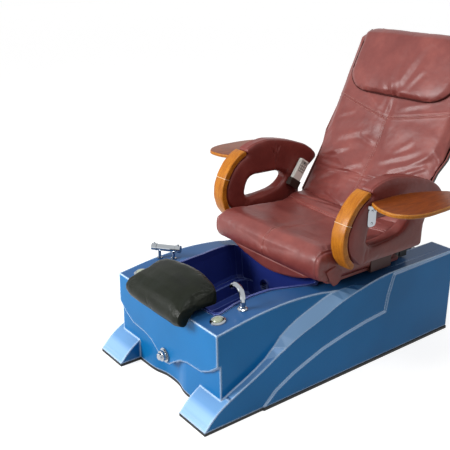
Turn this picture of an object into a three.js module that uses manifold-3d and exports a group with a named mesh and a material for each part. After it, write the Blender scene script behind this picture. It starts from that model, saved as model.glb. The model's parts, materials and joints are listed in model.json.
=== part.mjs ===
// Pedicure spa chair: a moulded foot-spa base with a sliding, reclining leather massage chair on top.
// Millimetres. +Z is up and the sitter faces -Y. While it is drawn, y = 0 is the tip of the base's front
// toes; at the end the whole chair is moved so that the origin is under the middle of its length.
import * as THREE from 'three';
import { mergeVertices } from 'three/addons/utils/BufferGeometryUtils.js';
import Module from 'manifold-3d';

const wasm = await Module();
wasm.setup();

// ---------------------------------------------------------------- driving dimensions

const TOUCH = 0.3;              // gap between pieces that sit on each other
const RUN = 1.0;                // running clearance between pieces that slide

// base moulding
const BASE_HALF = 380;          // half width over the proud rear panels
const BASE_LENGTH = 1335;       // toe tips to rear face
const PANEL_STEP = 6;           // how far the rear panels stand proud of the front ones
const CORE_HALF = 336;          // half width of the basin body at its deck
const CORE_FLARE = 9;           // how much wider the basin body is at the floor, each side
const FRONT_Y = 81;             // front face of the basin body
const SHELL_WALL = 6;
const TRIM_HEIGHT = 12;
const TRIM_WIDTH = 14;
const TOE_INNER = 213;          // inner side of the toes
const RAIL_TOP = 380;           // top of the rear side rails
const RECESS_HALF = 257;        // half width of the well between the rear rails
const RECESS_FRONT = 682;
const RECESS_FLOOR = 300;

// heights along the moulding, as [y, z]
const DECK_LINE = [[81, 354], [256, 379], [418, 388], [577, 377], [655, 363], [780, 363], [910, 378],
  [960, RAIL_TOP], [BASE_LENGTH, RAIL_TOP]];
const RIDGE_LINE = [[0, 13.5], [37, 53], [77, 83], [134, 113], [196, 140], [265, 172], [346, 214], [442, 255],
  [552, 290], [641, 325], [723, 347], [844, 372], [933, RAIL_TOP], [BASE_LENGTH, RAIL_TOP]];
const LEDGE_RISE = [[0, 0], [300, 3], [373, 38], [480, 50], [591, 48], [644, 37], [780, 12], [933, 0],
  [BASE_LENGTH, 0]];
const PROUD_LINE = [[262, 12], [323, 67], [407, 109], [470, 132], [559, 162], [676, 186], [798, 205],
  [906, 215], [918, 285], [947, 372]];

// lower edge of the front shield, as [x, z], and how deep the kick space under it is, as [x, depth]
const SHIELD_EDGE = [[0, 92], [28, 97], [62, 122], [102, 148], [150, 161], [241, 167], [295, 195], [352, 240]];
const KICK_DEPTH = [[0, 34], [25, 33.5], [48, 31], [70, 25], [95, 18], [130, 14], [213, 13], [352, 13]];

// foot basin
const BASIN_SIDE = [[228, 178], [216, 250], [209, 330], [215, 420], [236, 505], [254, 590]];
const BASIN_FRONT = 160;
const BASIN_REAR = 655;
const BASIN_FLOOR = 150;
const BASIN_STEP_Z = 222;       // height of the ledge inside the basin
const BASIN_WALL = 5;
const RIM_WIDTH = 10;
const RIM_HEIGHT = 6;
const DRAIN_Y = 330;
const DRAIN_R = 34;
const JET_X = 86;
const JET_Z = 229;
const JET_R = 21;

// deck fittings
const BUTTON_X = 262;
const BUTTON_Y = 142;
const BUTTON_R = 19;
const BEZEL_R = 31;
const SPOUT_X = 266;
const SPOUT_Y = 251;
const SPOUT_R = 11;
const SPOUT_REACH = 64;
const SPOUT_RISE = 72;
const MIXER_X = -292;
const MIXER_Y = 285;
const MIXER_ANGLE = 37.5;       // degrees from +X, seen from above
const MIXER_R = 14;
const MIXER_HALF = 40;
const MIXER_KNOB = 23;
const MIXER_LIFT = 48;          // bar axis above the deck
const MIXER_LEG = 31;           // legs from the middle of the bar
const KNOB_X = 0;
const KNOB_Z = 128;
const KNOB_R = 22;
const KNOB_LENGTH = 26;

// footrest
const PAD_HALF = 186;
const PAD_UNDER = 380;          // underside of the pad over the deck
const PAD_CROWN = 18;
const POST_X = 90;
const POST_Y = 128;
const POST_R = 8;
const POST_LENGTH = 100;

// chassis and running gear
const FOOT_R = 22;
const FOOT_PAD = 10;
const FOOT_FRONT = 170;
const FOOT_REAR = BASE_LENGTH - 65;
const TUBE = 30;
const CHASSIS_Z = 22;
const CHASSIS_HEIGHT = 38;
const CHASSIS_X = 296;
const SLIDE_X = 200;
const SLIDE_TRAVEL = 100;
const CHANNEL = 40;
const CHANNEL_WALL = 3;
const CARRIAGE_LENGTH = 455;
const SCREW_R = 8;
const SCREW_Z = 336;

// seat
const SEAT_HALF = 328;
const SEAT_FRONT = 556;
const SEAT_UNDER = 394;         // underside of the seat board
const BOARD = 12;
const SEAT_TOP = 535;
const SKIRT_DROP = 342;         // lowest point of the leather skirt
const SKIRT_Y = 602;

// arms
const ARM_GAP = 8;              // between the seat cushion and an arm
const ARM_WIDTH = 66;
const ARM_INNER = SEAT_HALF + ARM_GAP;
const ARM_OUTER = ARM_INNER + ARM_WIDTH;
const ARM_BOTTOM = 468;
const WOOD_THICK = 26;
const WOOD_FRONT = [[742, 768], [704, 750], [666, 718], [634, 672], [614, 620], [611, 566], [628, 512],
  [664, 466]];
const ARM_TOP = [[744, 772], [800, 794], [870, 802], [950, 791], [1030, 772], [1110, 744], [1162, 710],
  [1189, 676]];
const ARM_REAR = [[1150, 640], [1098, 606], [1080, 570], [1073, ARM_BOTTOM]];
const ARM_HOLE = [[744, 560, 30], [764, 640, 46], [940, 636, 60], [992, 606, 22], [945, 562, 34],
  [850, 546, 40], [766, 541, 22]];
const ARM_ROLL = 18;            // how far the padding rolls away round the hole

// trays
const TRAY_TOP = 728;
const TRAY_THICK = 16;
const PIVOT_X = ARM_OUTER + 32;
const PIVOT_Y = 752;
const PIVOT_R = 6;
// its outline, as [distance from the arm, y, corner radius]
const TRAY_OUTLINE = [[8, 738, 10], [72, 706, 40], [112, 701, 30], [152, 704, 40], [196, 742, 60], [217, 806, 90],
  [214, 975, 100], [152, 1096, 40], [92, 1086, 40], [32, 985, 70], [5, 890, 60]];

// back, drawn upright from its hinge axis and then leaned
const HINGE_Y = 1085;
const HINGE_Z = 470;
const RECLINE = 32;             // degrees from upright
const BACK_HALF = SEAT_HALF;
const BACK_WIDER = 20;          // how much further the back reaches each side above the arms
const BACK_WIDENS = 285;        // height at which it starts to widen
const BACK_CORNER = 62;         // radius of its top corners
const BACK_BOTTOM = 40;         // lower edge of the shell
const BACK_TOP = 868;
const CUSHION_DROP = 68;        // how far the cushion hangs below the shell
const BACK_REAR = -28;          // rear plane of the cushion, in front of the hinge axis
const BACK_MIDDLE = [[-28, -64], [112, -59], [214, -55], [332, -54], [463, -71], [663, -92], [831, -103],
  [BACK_TOP, -104]];
const BACK_SIDE = [[-28, -38], [60, -37], [175, -38], [348, -54], [515, -69], [667, -86], [831, -103],
  [BACK_TOP, -104]];
const SHELL_EDGE = 22;          // depth of the back shell at its sides
const SHELL_BULGE = 78;         // how much deeper it is in the middle
const BACK_WALL = 4;
const PILLOW_BOTTOM = 552;
const PILLOW_EDGE = 44;         // from the pillow's side to the side of the back
const PILLOW_CORNER = [165, 115];   // width and height of its round lower corners
const PILLOW_THICK = 34;
const PIN_R = 10;
const EYE_R = 23;
const UPRIGHT_X = SEAT_HALF - 32;   // inner face of the hinge uprights
const UPRIGHT = 6;
const LUG_X = UPRIGHT_X - 8;
const FRAME_DEPTH = BACK_REAR + TOUCH;
const FRAME_THICK = 14;

// massage mechanism
const GUIDE_X = 110;
const GUIDE_R = 8;
const GUIDE_DEPTH = BACK_REAR + 42;
const MASSAGE_Z = 300;
const MASSAGE_HEIGHT = 120;
const ROLLER_R = 18;

// remote control
const REMOTE_LENGTH = 135;
const REMOTE_WIDTH = 54;
const REMOTE_THICK = 20;
const REMOTE_X = 18 - ARM_INNER;
const REMOTE_Y = 1046;
const REMOTE_Z = 616;
const REMOTE_TILT = 34;

// middle of the whole chair's length, from the toe tips to the rear of the leaned back
const MIDDLE_Y = 771;

// ---------------------------------------------------------------- finishes

const finish = (color, roughness, metalness = 0) => new THREE.MeshStandardMaterial({ color, roughness, metalness });
const GELCOAT = finish('#2f64b0', 0.25, 0.2);
const BASIN_BLUE = finish('#1d2f86', 0.25, 0.2);
const RUBBER = finish('#14181a', 0.8);
const CHROME = finish('#d6dadd', 0.12, 1);
const CLEAR_CAP = finish('#aebd9a', 0.3);
const STEEL = finish('#5c6064', 0.5, 0.8);
const DARK_PLASTIC = finish('#2a2019', 0.5);
const BLACK_VINYL = finish('#24282a', 0.45);
const LEATHER = finish('#8a4444', 0.5);
const WOOD = finish('#c07a22', 0.3);
const PLYWOOD = finish('#b9976a', 0.7);
const PVC = finish('#c9ccd0', 0.5);
const OFF_WHITE = finish('#e9ede6', 0.4);

// ---------------------------------------------------------------- solids

function solid(geometry) {
  const bare = geometry.clone();
  bare.deleteAttribute('normal');
  bare.deleteAttribute('uv');
  const merged = mergeVertices(bare, 1e-4);
  return new wasm.Manifold(new wasm.Mesh({
    numProp: 3,
    vertProperties: new Float32Array(merged.attributes.position.array),
    triVerts: new Uint32Array(merged.index.array),
  }));
}

function surface(body) {
  const mesh = body.getMesh();
  const geometry = new THREE.BufferGeometry();
  geometry.setAttribute('position', new THREE.BufferAttribute(mesh.vertProperties, 3));
  geometry.setIndex(new THREE.BufferAttribute(mesh.triVerts, 1));
  geometry.computeVertexNormals();
  return geometry;
}

const join = (...bodies) => bodies.flat().reduce((whole, body) => whole.add(body));
const cut = (body, ...tools) => tools.flat().reduce((whole, tool) => whole.subtract(tool), body);

function box(x0, x1, y0, y1, z0, z1) {
  const geometry = new THREE.BoxGeometry(x1 - x0, y1 - y0, z1 - z0);
  return solid(geometry.translate((x0 + x1) / 2, (y0 + y1) / 2, (z0 + z1) / 2));
}

// a round bar between two points
function bar(from, to, radius, sides = 16) {
  const a = new THREE.Vector3(...from);
  const b = new THREE.Vector3(...to);
  const geometry = new THREE.CylinderGeometry(radius, radius, a.distanceTo(b), sides);
  const turn = new THREE.Quaternion().setFromUnitVectors(new THREE.Vector3(0, 1, 0), b.clone().sub(a).normalize());
  geometry.applyQuaternion(turn);
  const middle = a.add(b).multiplyScalar(0.5);
  return solid(geometry.translate(middle.x, middle.y, middle.z));
}

// a shape drawn in the plane square to an axis and thickened along it: 'x' takes (y, z), 'y' takes (x, z)
const AXIS_TURN = {
  x: new THREE.Matrix4().set(0, 0, 1, 0, 1, 0, 0, 0, 0, 1, 0, 0, 0, 0, 0, 1),
  y: new THREE.Matrix4().set(1, 0, 0, 0, 0, 0, -1, 0, 0, 1, 0, 0, 0, 0, 0, 1),
  z: new THREE.Matrix4(),
};

function slabGeometry(shape, axis, from, to, bevel = 0, bevelSteps = 1, curveSegments = 5) {
  const geometry = new THREE.ExtrudeGeometry(shape, {
    depth: to - from - 2 * bevel, steps: 1, curveSegments,
    bevelEnabled: bevel > 0, bevelThickness: bevel, bevelSize: bevel, bevelOffset: -bevel, bevelSegments: bevelSteps,
  });
  geometry.translate(0, 0, (axis === 'y' ? -to : from) + bevel);
  return geometry.applyMatrix4(AXIS_TURN[axis]);
}

const slab = (...options) => solid(slabGeometry(...options));

// a closed outline from [a, b, corner radius] points
function outline(points, radius = 0) {
  const shape = new THREE.Shape();
  points.forEach(([a, b, own = radius], i) => {
    const corner = new THREE.Vector2(a, b);
    const before = new THREE.Vector2(...points.at(i - 1));
    const after = new THREE.Vector2(...points[(i + 1) % points.length]);
    const reach = Math.min(own, corner.distanceTo(before) * 0.48, corner.distanceTo(after) * 0.48);
    const start = corner.clone().lerp(before, reach / corner.distanceTo(before));
    const end = corner.clone().lerp(after, reach / corner.distanceTo(after));
    if (i === 0) shape.moveTo(start.x, start.y);
    else shape.lineTo(start.x, start.y);
    if (reach > 0) shape.quadraticCurveTo(a, b, end.x, end.y);
  });
  shape.closePath();
  return shape;
}

// a half outline from its first point on the mid plane to its last, with its mirror image
const mirrored = (points) => [...points, ...points.slice(1, -1).map(([a, b]) => [-a, b]).reverse()];

// a smooth height through [along, height] points
function heightThrough(points) {
  const slopes = points.map((_, i) => {
    const a = points[Math.max(i - 1, 0)];
    const b = points[Math.min(i + 1, points.length - 1)];
    return (b[1] - a[1]) / (b[0] - a[0]);
  });
  return (along) => {
    let i = points.findIndex(([a]) => a > along) - 1;
    if (i === -2) i = points.length - 2;
    i = Math.max(i, 0);
    const [a0, h0] = points[i];
    const [a1, h1] = points[i + 1];
    const span = a1 - a0;
    const t = THREE.MathUtils.clamp((along - a0) / span, 0, 1);
    const t2 = t * t;
    const t3 = t2 * t;
    return h0 * (2 * t3 - 3 * t2 + 1) + slopes[i] * span * (t3 - 2 * t2 + t)
      + h1 * (3 * t2 - 2 * t3) + slopes[i + 1] * span * (t3 - t2);
  };
}

// a closed body through rings of [x, y, z] points that all run the same way round
function loft(rings) {
  const count = rings[0].length;
  const positions = rings.flat(2);
  const faces = [];
  rings.slice(1).forEach((_, r) => {
    for (let i = 0; i < count; i += 1) {
      const a = r * count + i;
      const b = r * count + (i + 1) % count;
      faces.push(a, b, a + count, b, b + count, a + count);
    }
  });
  [0, rings.length - 1].forEach((r) => {
    const ring = rings[r];
    const centre = [0, 1, 2].map((axis) => ring.reduce((sum, point) => sum + point[axis], 0) / count);
    positions.push(...centre);
    const hub = positions.length / 3 - 1;
    for (let i = 0; i < count; i += 1) {
      const a = r * count + i;
      const b = r * count + (i + 1) % count;
      faces.push(...(r === 0 ? [hub, b, a] : [hub, a, b]));
    }
  });
  const geometry = new THREE.BufferGeometry();
  geometry.setAttribute('position', new THREE.BufferAttribute(new Float32Array(positions), 3));
  geometry.setIndex(faces);
  const body = solid(geometry);
  if (body.volume() > 0) return body;
  geometry.setIndex(faces.reverse());
  return solid(geometry);
}

function tube(points, radius, sides = 12, steps = 20) {
  const path = new THREE.CatmullRomCurve3(points.map((point) => new THREE.Vector3(...point)), false, 'chordal');
  const section = new THREE.Shape();
  section.absarc(0, 0, radius, 0, 2 * Math.PI);
  return solid(new THREE.ExtrudeGeometry(section, { steps, curveSegments: sides, extrudePath: path }));
}

// a body of revolution about the upright through (x, y), from [radius, z] points
function turned(profile, x = 0, y = 0, sides = 24) {
  const geometry = new THREE.LatheGeometry(profile.map((point) => new THREE.Vector2(...point)), sides);
  return solid(geometry.rotateX(Math.PI / 2).translate(x, y, 0));
}

const rows = (from, to, count) => Array.from({ length: count + 1 }, (_, i) => from + (to - from) * (i / count));
const mirrorX = (body) => body.mirror([1, 0, 0]);

// ---------------------------------------------------------------- scene graph

const chair = new THREE.Group();

function place(parent, name, body, material) {
  const mesh = new THREE.Mesh(surface(body), material);
  mesh.name = name;
  parent.add(mesh);
  return mesh;
}

function placePair(parent, name, rightHanded, material) {
  place(parent, `${name}_left`, rightHanded, material);
  place(parent, `${name}_right`, mirrorX(rightHanded), material);
}

// ---------------------------------------------------------------- base moulding

const deckHeight = heightThrough(DECK_LINE);
const ridgeHeight = heightThrough(RIDGE_LINE);
const ledgeRise = heightThrough(LEDGE_RISE);
const slopeOf = (height, y) => Math.atan((height(y + 1) - height(y - 1)) / 2);
const TRIM_TOP = TRIM_HEIGHT + TOUCH;
const DECK_GRID = rows(FRONT_Y, BASE_LENGTH, 30);

function basinBody(inset) {
  const front = FRONT_Y + inset;
  const rear = BASE_LENGTH - inset;
  const floor = TRIM_TOP - (inset > 0 ? TRIM_TOP : 0);
  const top = DECK_GRID.map((y) => [THREE.MathUtils.clamp(y, front, rear), deckHeight(y) - inset]);
  const geometry = slabGeometry(outline([[front, floor], [rear, floor], ...top.reverse()]),
    'x', -CORE_HALF + inset, CORE_HALF - inset);
  const spots = geometry.attributes.position;
  for (let i = 0; i < spots.count; i += 1) {
    const down = 1 - (spots.getZ(i) - floor) / (RAIL_TOP - floor);
    spots.setX(i, spots.getX(i) * (1 + (CORE_FLARE / CORE_HALF) * down));
  }
  return solid(geometry);
}

// the wing beside the basin body: it rises from the toe to the rear rail, with a sloping ledge on top
function sideWing(inset) {
  const outer = BASE_HALF - PANEL_STEP - inset;
  const floor = TRIM_TOP - (inset > 0 ? TRIM_TOP : 0);
  return loft(DECK_GRID.map((along) => {
    const y = THREE.MathUtils.clamp(along, FRONT_Y + inset, BASE_LENGTH - inset);
    const ridge = ridgeHeight(along) - inset;
    const ledge = Math.min(ridge + ledgeRise(along), deckHeight(along) - inset);
    return [[RECESS_HALF, y, floor], [outer, y, floor], [outer, y, ridge], [CORE_HALF, y, ledge],
      [RECESS_HALF, y, ledge]];
  }));
}

function toe(inset) {
  const stretch = rows(inset ? 14 : 0, FRONT_Y + 30, 8);
  const floor = TRIM_TOP - (inset > 0 ? TRIM_TOP : 0);
  const outer = BASE_HALF - PANEL_STEP - inset;
  return loft(stretch.map((y) => {
    const top = Math.max(ridgeHeight(y) - inset, floor + 1);
    return [[TOE_INNER + inset, y, floor], [outer, y, floor], [outer, y, top], [TOE_INNER + inset, y, top]];
  }));
}

// the rear panel stands proud behind a chamfered line that sweeps up from the floor
function proudPanel(inset) {
  const floor = TRIM_TOP - (inset > 0 ? TRIM_TOP : 0);
  const low = [[PROUD_LINE[0][0] + inset, floor], ...PROUD_LINE.slice(1).map(([y, z]) => [y + inset, z - inset])];
  const region = outline([...low, [BASE_LENGTH - inset, RAIL_TOP - inset], [BASE_LENGTH - inset, floor]].reverse());
  return slab(region, 'x', BASE_HALF - 4 * PANEL_STEP, BASE_HALF - inset, PANEL_STEP - 0.5);
}

const kickDepth = heightThrough(KICK_DEPTH);
const KICK_LINE = [0, 20, 36, 50, 62, 75, 88, 102, 120, 150, TOE_INNER];

// the kick space scooped away below the front shield
function kickSpace(inset) {
  const reach = 2 * BASE_HALF;
  const edge = SHIELD_EDGE.map(([x, z]) => [x, z + inset]);
  const below = outline(mirrored([[0, edge[0][1]], ...edge.slice(1), [reach, edge.at(-1)[1]], [reach, -reach],
    [0, -reach]]).reverse());
  const wall = KICK_LINE.map((x) => [x, FRONT_Y + kickDepth(x) + inset]);
  const plan = outline(mirrored([...wall, [reach, wall.at(-1)[1]], [reach, -reach], [0, -reach]]).reverse());
  return slab(below, 'y', -reach, FRONT_Y + BASE_HALF).intersect(slab(plan, 'z', -reach, reach));
}

function baseHull(inset) {
  const wing = join(sideWing(inset), proudPanel(inset));
  const body = cut(join(basinBody(inset), wing, mirrorX(wing)), kickSpace(inset));
  return join(body, toe(inset), mirrorX(toe(inset)));
}

// half outline of the basin mouth from its front to its rear, grown or shrunk about its rear wall
function basinRing(inset, z, grow = 0) {
  const side = BASIN_SIDE.map(([x, y]) => [x, y]);
  const half = [[0, BASIN_FRONT], [95, BASIN_FRONT], [190, BASIN_FRONT], [216, BASIN_FRONT + 4], ...side,
    [252, 618], [236, 642], [200, BASIN_REAR], [100, BASIN_REAR], [0, BASIN_REAR]];
  const wide = 1 - inset / 240;
  const long = 1 - inset / (BASIN_REAR - BASIN_FRONT);
  const ring = [...half, ...half.slice(1, -1).map(([x, y]) => [-x, y]).reverse()];
  return ring.map(([x, y]) => {
    const middle = (BASIN_FRONT + BASIN_REAR) / 2;
    const outX = grow * (x / 240);
    const outY = grow * ((y - middle) / (BASIN_REAR - middle));
    return [x * wide + outX, BASIN_REAR - (BASIN_REAR - y) * long + outY, z];
  });
}

const BASIN_LEVELS = [[0, 420], [0, 360], [12, BASIN_STEP_Z + 14], [18, BASIN_STEP_Z], [42, BASIN_STEP_Z - 3],
  [50, BASIN_FLOOR + 16], [66, BASIN_FLOOR]];

function baseShell() {
  const well = box(-RECESS_HALF, RECESS_HALF, RECESS_FRONT, BASE_LENGTH + 20, RECESS_FLOOR, RAIL_TOP + 40);
  const wellCasing = box(-RECESS_HALF - SHELL_WALL, RECESS_HALF + SHELL_WALL, RECESS_FRONT - SHELL_WALL,
    BASE_LENGTH + 20, RECESS_FLOOR - SHELL_WALL, RAIL_TOP + 40);
  const hollow = cut(baseHull(SHELL_WALL), wellCasing);
  const mouth = loft([basinRing(0, BASIN_FLOOR, 1 + BASIN_WALL), basinRing(0, RAIL_TOP + 40, 1 + BASIN_WALL)]);
  const door = box(-SERVICE_HALF, SERVICE_HALF, BASE_LENGTH - 40, BASE_LENGTH + 20, SERVICE_LOW, SERVICE_HIGH);
  return cut(baseHull(0), hollow, well, mouth, door, deckHoles());
}

const SERVICE_HALF = 170;
const SERVICE_LOW = 76;
const SERVICE_HIGH = 250;

// a fitting that stands square on the sloping deck
function onDeck(x, y, geometryOrBody) {
  const turn = new THREE.Matrix4().makeRotationX(slopeOf(deckHeight, y));
  turn.setPosition(x, y, deckHeight(y) + TOUCH);
  return geometryOrBody.transform(turn.elements);
}

function deckHoles() {
  const button = bar([0, 0, -30], [0, 0, 10], BUTTON_R + 3 + TOUCH, 24);
  const post = bar([POST_X, POST_Y, 300], [POST_X, POST_Y, 400], POST_R + 4 + TOUCH, 20);
  return [onDeck(BUTTON_X, BUTTON_Y, button), onDeck(-BUTTON_X, BUTTON_Y, button), post, mirrorX(post),
    onFrontFace(bar([0, -20, 0], [0, 20, 0], 9, 16))];
}

function baseTrim() {
  const foot = BASE_HALF - PANEL_STEP;
  const wall = KICK_LINE.map((x) => [x, FRONT_Y + kickDepth(x)]);
  const behind = KICK_LINE.slice(0, -1).map((x) => [x, FRONT_Y + kickDepth(x) + TRIM_WIDTH]);
  const toeWall = FRONT_Y + kickDepth(TOE_INNER) + TRIM_WIDTH;
  const outer = [...wall, [TOE_INNER, 0], [foot, 0], [foot, PROUD_LINE[0][0]], [BASE_HALF, PROUD_LINE[0][0] + PANEL_STEP],
    [BASE_HALF, BASE_LENGTH], [0, BASE_LENGTH]];
  const inner = [...behind, [TOE_INNER + TRIM_WIDTH, toeWall], [TOE_INNER + TRIM_WIDTH, TRIM_WIDTH],
    [foot - TRIM_WIDTH, TRIM_WIDTH], [foot - TRIM_WIDTH, BASE_LENGTH - TRIM_WIDTH], [0, BASE_LENGTH - TRIM_WIDTH]];
  return cut(slab(outline(mirrored(outer)), 'z', 0, TRIM_HEIGHT), slab(outline(mirrored(inner)), 'z', -1, TRIM_HEIGHT + 1));
}

function footBasin() {
  const inside = loft(BASIN_LEVELS.map(([inset, z]) => basinRing(inset, z)));
  const outside = loft(BASIN_LEVELS.map(([inset, z]) => basinRing(inset, z, BASIN_WALL))
    .concat([basinRing(BASIN_LEVELS.at(-1)[0] + 4, BASIN_FLOOR - BASIN_WALL, BASIN_WALL)]));
  const rim = loft([basinRing(0, 300, RIM_WIDTH), basinRing(0, 420, RIM_WIDTH)]);
  const stretch = DECK_GRID.filter((y) => y < BASIN_REAR + 60);
  const overDeck = (lift) => stretch.map((y) => [y, deckHeight(y) + lift]);
  const band = slab(outline([...overDeck(TOUCH), ...overDeck(RIM_HEIGHT).reverse()]), 'x', -BASE_HALF, BASE_HALF);
  const above = slab(outline([...overDeck(RIM_HEIGHT), [stretch.at(-1), 600], [stretch[0], 600]]),
    'x', -BASE_HALF, BASE_HALF);
  const jets = [JET_X, -JET_X].map((x) => bar([x, BASIN_REAR - 60, JET_Z], [x, BASIN_REAR + 60, JET_Z], JET_R + TOUCH, 24));
  const drain = bar([0, DRAIN_Y, BASIN_FLOOR - 40], [0, DRAIN_Y, BASIN_FLOOR + 30], DRAIN_R - 6 + TOUCH, 24);
  return cut(join(cut(outside, above), rim.intersect(band)), inside, jets, drain);
}

// ---------------------------------------------------------------- basin fittings

function jet(x) {
  const face = BASIN_REAR;
  const flange = bar([x, face - 5, JET_Z], [x, face - TOUCH, JET_Z], JET_R + 6, 24);
  const throat = bar([x, face - 2, JET_Z], [x, face + 34, JET_Z], JET_R, 24);
  const slots = [-10, 0, 10].map((lift) => box(x - 14, x + 14, face - 8, face + 26, JET_Z + lift - 3, JET_Z + lift + 3));
  return cut(join(flange, throat), slots);
}

function drainStrainer() {
  const body = turned([[0, BASIN_FLOOR - 32], [DRAIN_R - 6, BASIN_FLOOR - 32], [DRAIN_R - 6, BASIN_FLOOR + TOUCH],
    [DRAIN_R, BASIN_FLOOR + TOUCH], [DRAIN_R, BASIN_FLOOR + 2], [DRAIN_R - 4, BASIN_FLOOR + 4], [0, BASIN_FLOOR + 4]],
  0, DRAIN_Y, 20);
  const holes = rows(0, 300, 5).map((turn) => {
    const a = THREE.MathUtils.degToRad(turn);
    const x = 15 * Math.cos(a);
    const y = DRAIN_Y + 15 * Math.sin(a);
    return bar([x, y, BASIN_FLOOR - 40], [x, y, BASIN_FLOOR + 8], 5, 6);
  });
  return cut(body, holes);
}

const SPOUT_FOOT = deckHeight(SPOUT_Y) + 12;

// a flange on the sloping deck with a level collar that the spout turns on
function spoutFlange() {
  const plate = onDeck(SPOUT_X, SPOUT_Y, turned([[0, 0], [19, 0], [19, 4], [SPOUT_R + 3, 7], [0, 7]]));
  const collar = bar([SPOUT_X, SPOUT_Y, SPOUT_FOOT - 9], [SPOUT_X, SPOUT_Y, SPOUT_FOOT - TOUCH], SPOUT_R + 2, 24);
  return join(plate, collar);
}

function spout() {
  const foot = SPOUT_FOOT;
  const top = foot + SPOUT_RISE;
  const bend = 30;
  const neck = tube([[SPOUT_X, SPOUT_Y, foot], [SPOUT_X, SPOUT_Y, top - bend - 14], [SPOUT_X - 3, SPOUT_Y, top - bend],
    [SPOUT_X - 13, SPOUT_Y, top - 10], [SPOUT_X - bend - 4, SPOUT_Y, top - 1], [SPOUT_X - SPOUT_REACH + 12, SPOUT_Y, top - 5],
    [SPOUT_X - SPOUT_REACH, SPOUT_Y, top - 16]], SPOUT_R, 6, 12);
  return neck;
}

const mixerTurn = THREE.MathUtils.degToRad(MIXER_ANGLE);
const alongMixer = (distance) => [MIXER_X + distance * Math.cos(mixerTurn), MIXER_Y + distance * Math.sin(mixerTurn)];
const MIXER_Z = deckHeight(MIXER_Y) + MIXER_LIFT;

function mixerBody() {
  const barrel = bar([...alongMixer(-MIXER_HALF), MIXER_Z], [...alongMixer(MIXER_HALF), MIXER_Z], MIXER_R, 24);
  const legs = [-MIXER_LEG, MIXER_LEG].map((reach) => {
    const [x, y] = alongMixer(reach);
    const foot = deckHeight(y) + TOUCH;
    return turned([[0, foot + 1.5], [12, foot + 1.5], [12, foot + 5], [7, foot + 8], [7, MIXER_Z], [0, MIXER_Z]], x, y, 16);
  });
  return join(barrel, legs);
}

function mixerKnob(side) {
  const from = side * (MIXER_HALF + RUN);
  const to = side * (MIXER_HALF + MIXER_KNOB);
  const grip = bar([...alongMixer(from), MIXER_Z], [...alongMixer(to), MIXER_Z], MIXER_R + 1.5, 24);
  const [x, y] = alongMixer((from + to) / 2);
  const stub = bar([x, y, MIXER_Z + MIXER_R - 3], [x, y, MIXER_Z + MIXER_R + 6], 4, 10);
  return join(grip, stub);
}

function buttonBezel() {
  return turned([[BUTTON_R + 1, -22], [BUTTON_R + 3, -22], [BUTTON_R + 3, 0], [BEZEL_R, 0], [BEZEL_R - 1, 4], [BUTTON_R + 5, 8],
    [BUTTON_R + 1, 7], [BUTTON_R + 1, -22]], 0, 0, 22);
}

function buttonCap() {
  const low = -14;
  return turned([[0, low], [BUTTON_R, low], [BUTTON_R, 7], [BUTTON_R - 3, 10], [0, 11.5]], 0, 0, 22);
}

// a fitting that stands square on the front shield; its axis is y
function onFrontFace(body) {
  return body.translate([KNOB_X, FRONT_Y - TOUCH, KNOB_Z]);
}

function drainRosette() {
  return onFrontFace(join(bar([0, -5, 0], [0, 0, 0], KNOB_R + 7, 28), bar([0, -2, 0], [0, 34, 0], 8.5, 16)));
}

function drainKnob() {
  const rim = new THREE.Shape();
  const lobes = 12;
  rows(0, 2 * Math.PI, 4 * lobes).slice(0, -1).forEach((a, i) => {
    const r = KNOB_R - (i % 4 < 2 ? 0 : 2.5);
    if (i === 0) rim.moveTo(r * Math.cos(a), r * Math.sin(a));
    else rim.lineTo(r * Math.cos(a), r * Math.sin(a));
  });
  const foot = -5 - TOUCH;
  const grip = slab(rim, 'y', foot - KNOB_LENGTH * 0.6, foot);
  const cap = bar([0, foot - KNOB_LENGTH, 0], [0, foot - 3, 0], KNOB_R * 0.62, 24);
  return onFrontFace(join(grip, cap));
}

// ---------------------------------------------------------------- footrest

// the pad is a saddle: it lies over the deck and its nose hangs down in front of the base
const PAD_SECTION = [[50, 322], [28, 332], [17, 352], [18, 376], [34, 399], [72, 417], [120, 431], [165, 445],
  [190, 450], [202, 440], [203, 396], [194, PAD_UNDER], [130, PAD_UNDER], [92, 377], [72, 360], [64, 332]];

function footrestPad() {
  return loft(rows(-1, 1, 12).map((across) => {
    const bow = 1 - across * across;
    const pull = Math.abs(across) > 0.95 ? 7 : 0;
    return PAD_SECTION.map(([y, z]) => {
      const upper = THREE.MathUtils.clamp((z - PAD_UNDER) / 50, 0, 1) * (y > 60 ? 1 : 0.4);
      const rearward = THREE.MathUtils.clamp((y - 110) / 90, 0, 1);
      const middle = [115, 395];
      const shrink = pull / 60;
      return [across * PAD_HALF, y + (middle[0] - y) * shrink * 0.4 + 32 * bow * rearward,
        Math.max(z + (middle[1] - z) * shrink + PAD_CROWN * bow * upper, y > 90 ? PAD_UNDER : 0)];
    });
  }));
}

function footrestFrame() {
  const plate = box(-150, 150, 100, 172, PAD_UNDER - 4.5, PAD_UNDER - TOUCH);
  const post = bar([POST_X, POST_Y, PAD_UNDER - 4.5 - POST_LENGTH], [POST_X, POST_Y, PAD_UNDER - 4], POST_R, 20);
  return join(plate, post, mirrorX(post));
}

function footrestSleeve() {
  const top = deckHeight(POST_Y);
  const seat = top + 3.5;
  return turned([[POST_R + TOUCH, top - 96], [POST_R + 4, top - 96], [POST_R + 4, seat], [POST_R + 8, seat], [POST_R + 8, top + 7],
    [POST_R + TOUCH, top + 7], [POST_R + TOUCH, top - 96]], POST_X, POST_Y, 20);
}

// ---------------------------------------------------------------- chassis, plumbing and running gear

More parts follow.
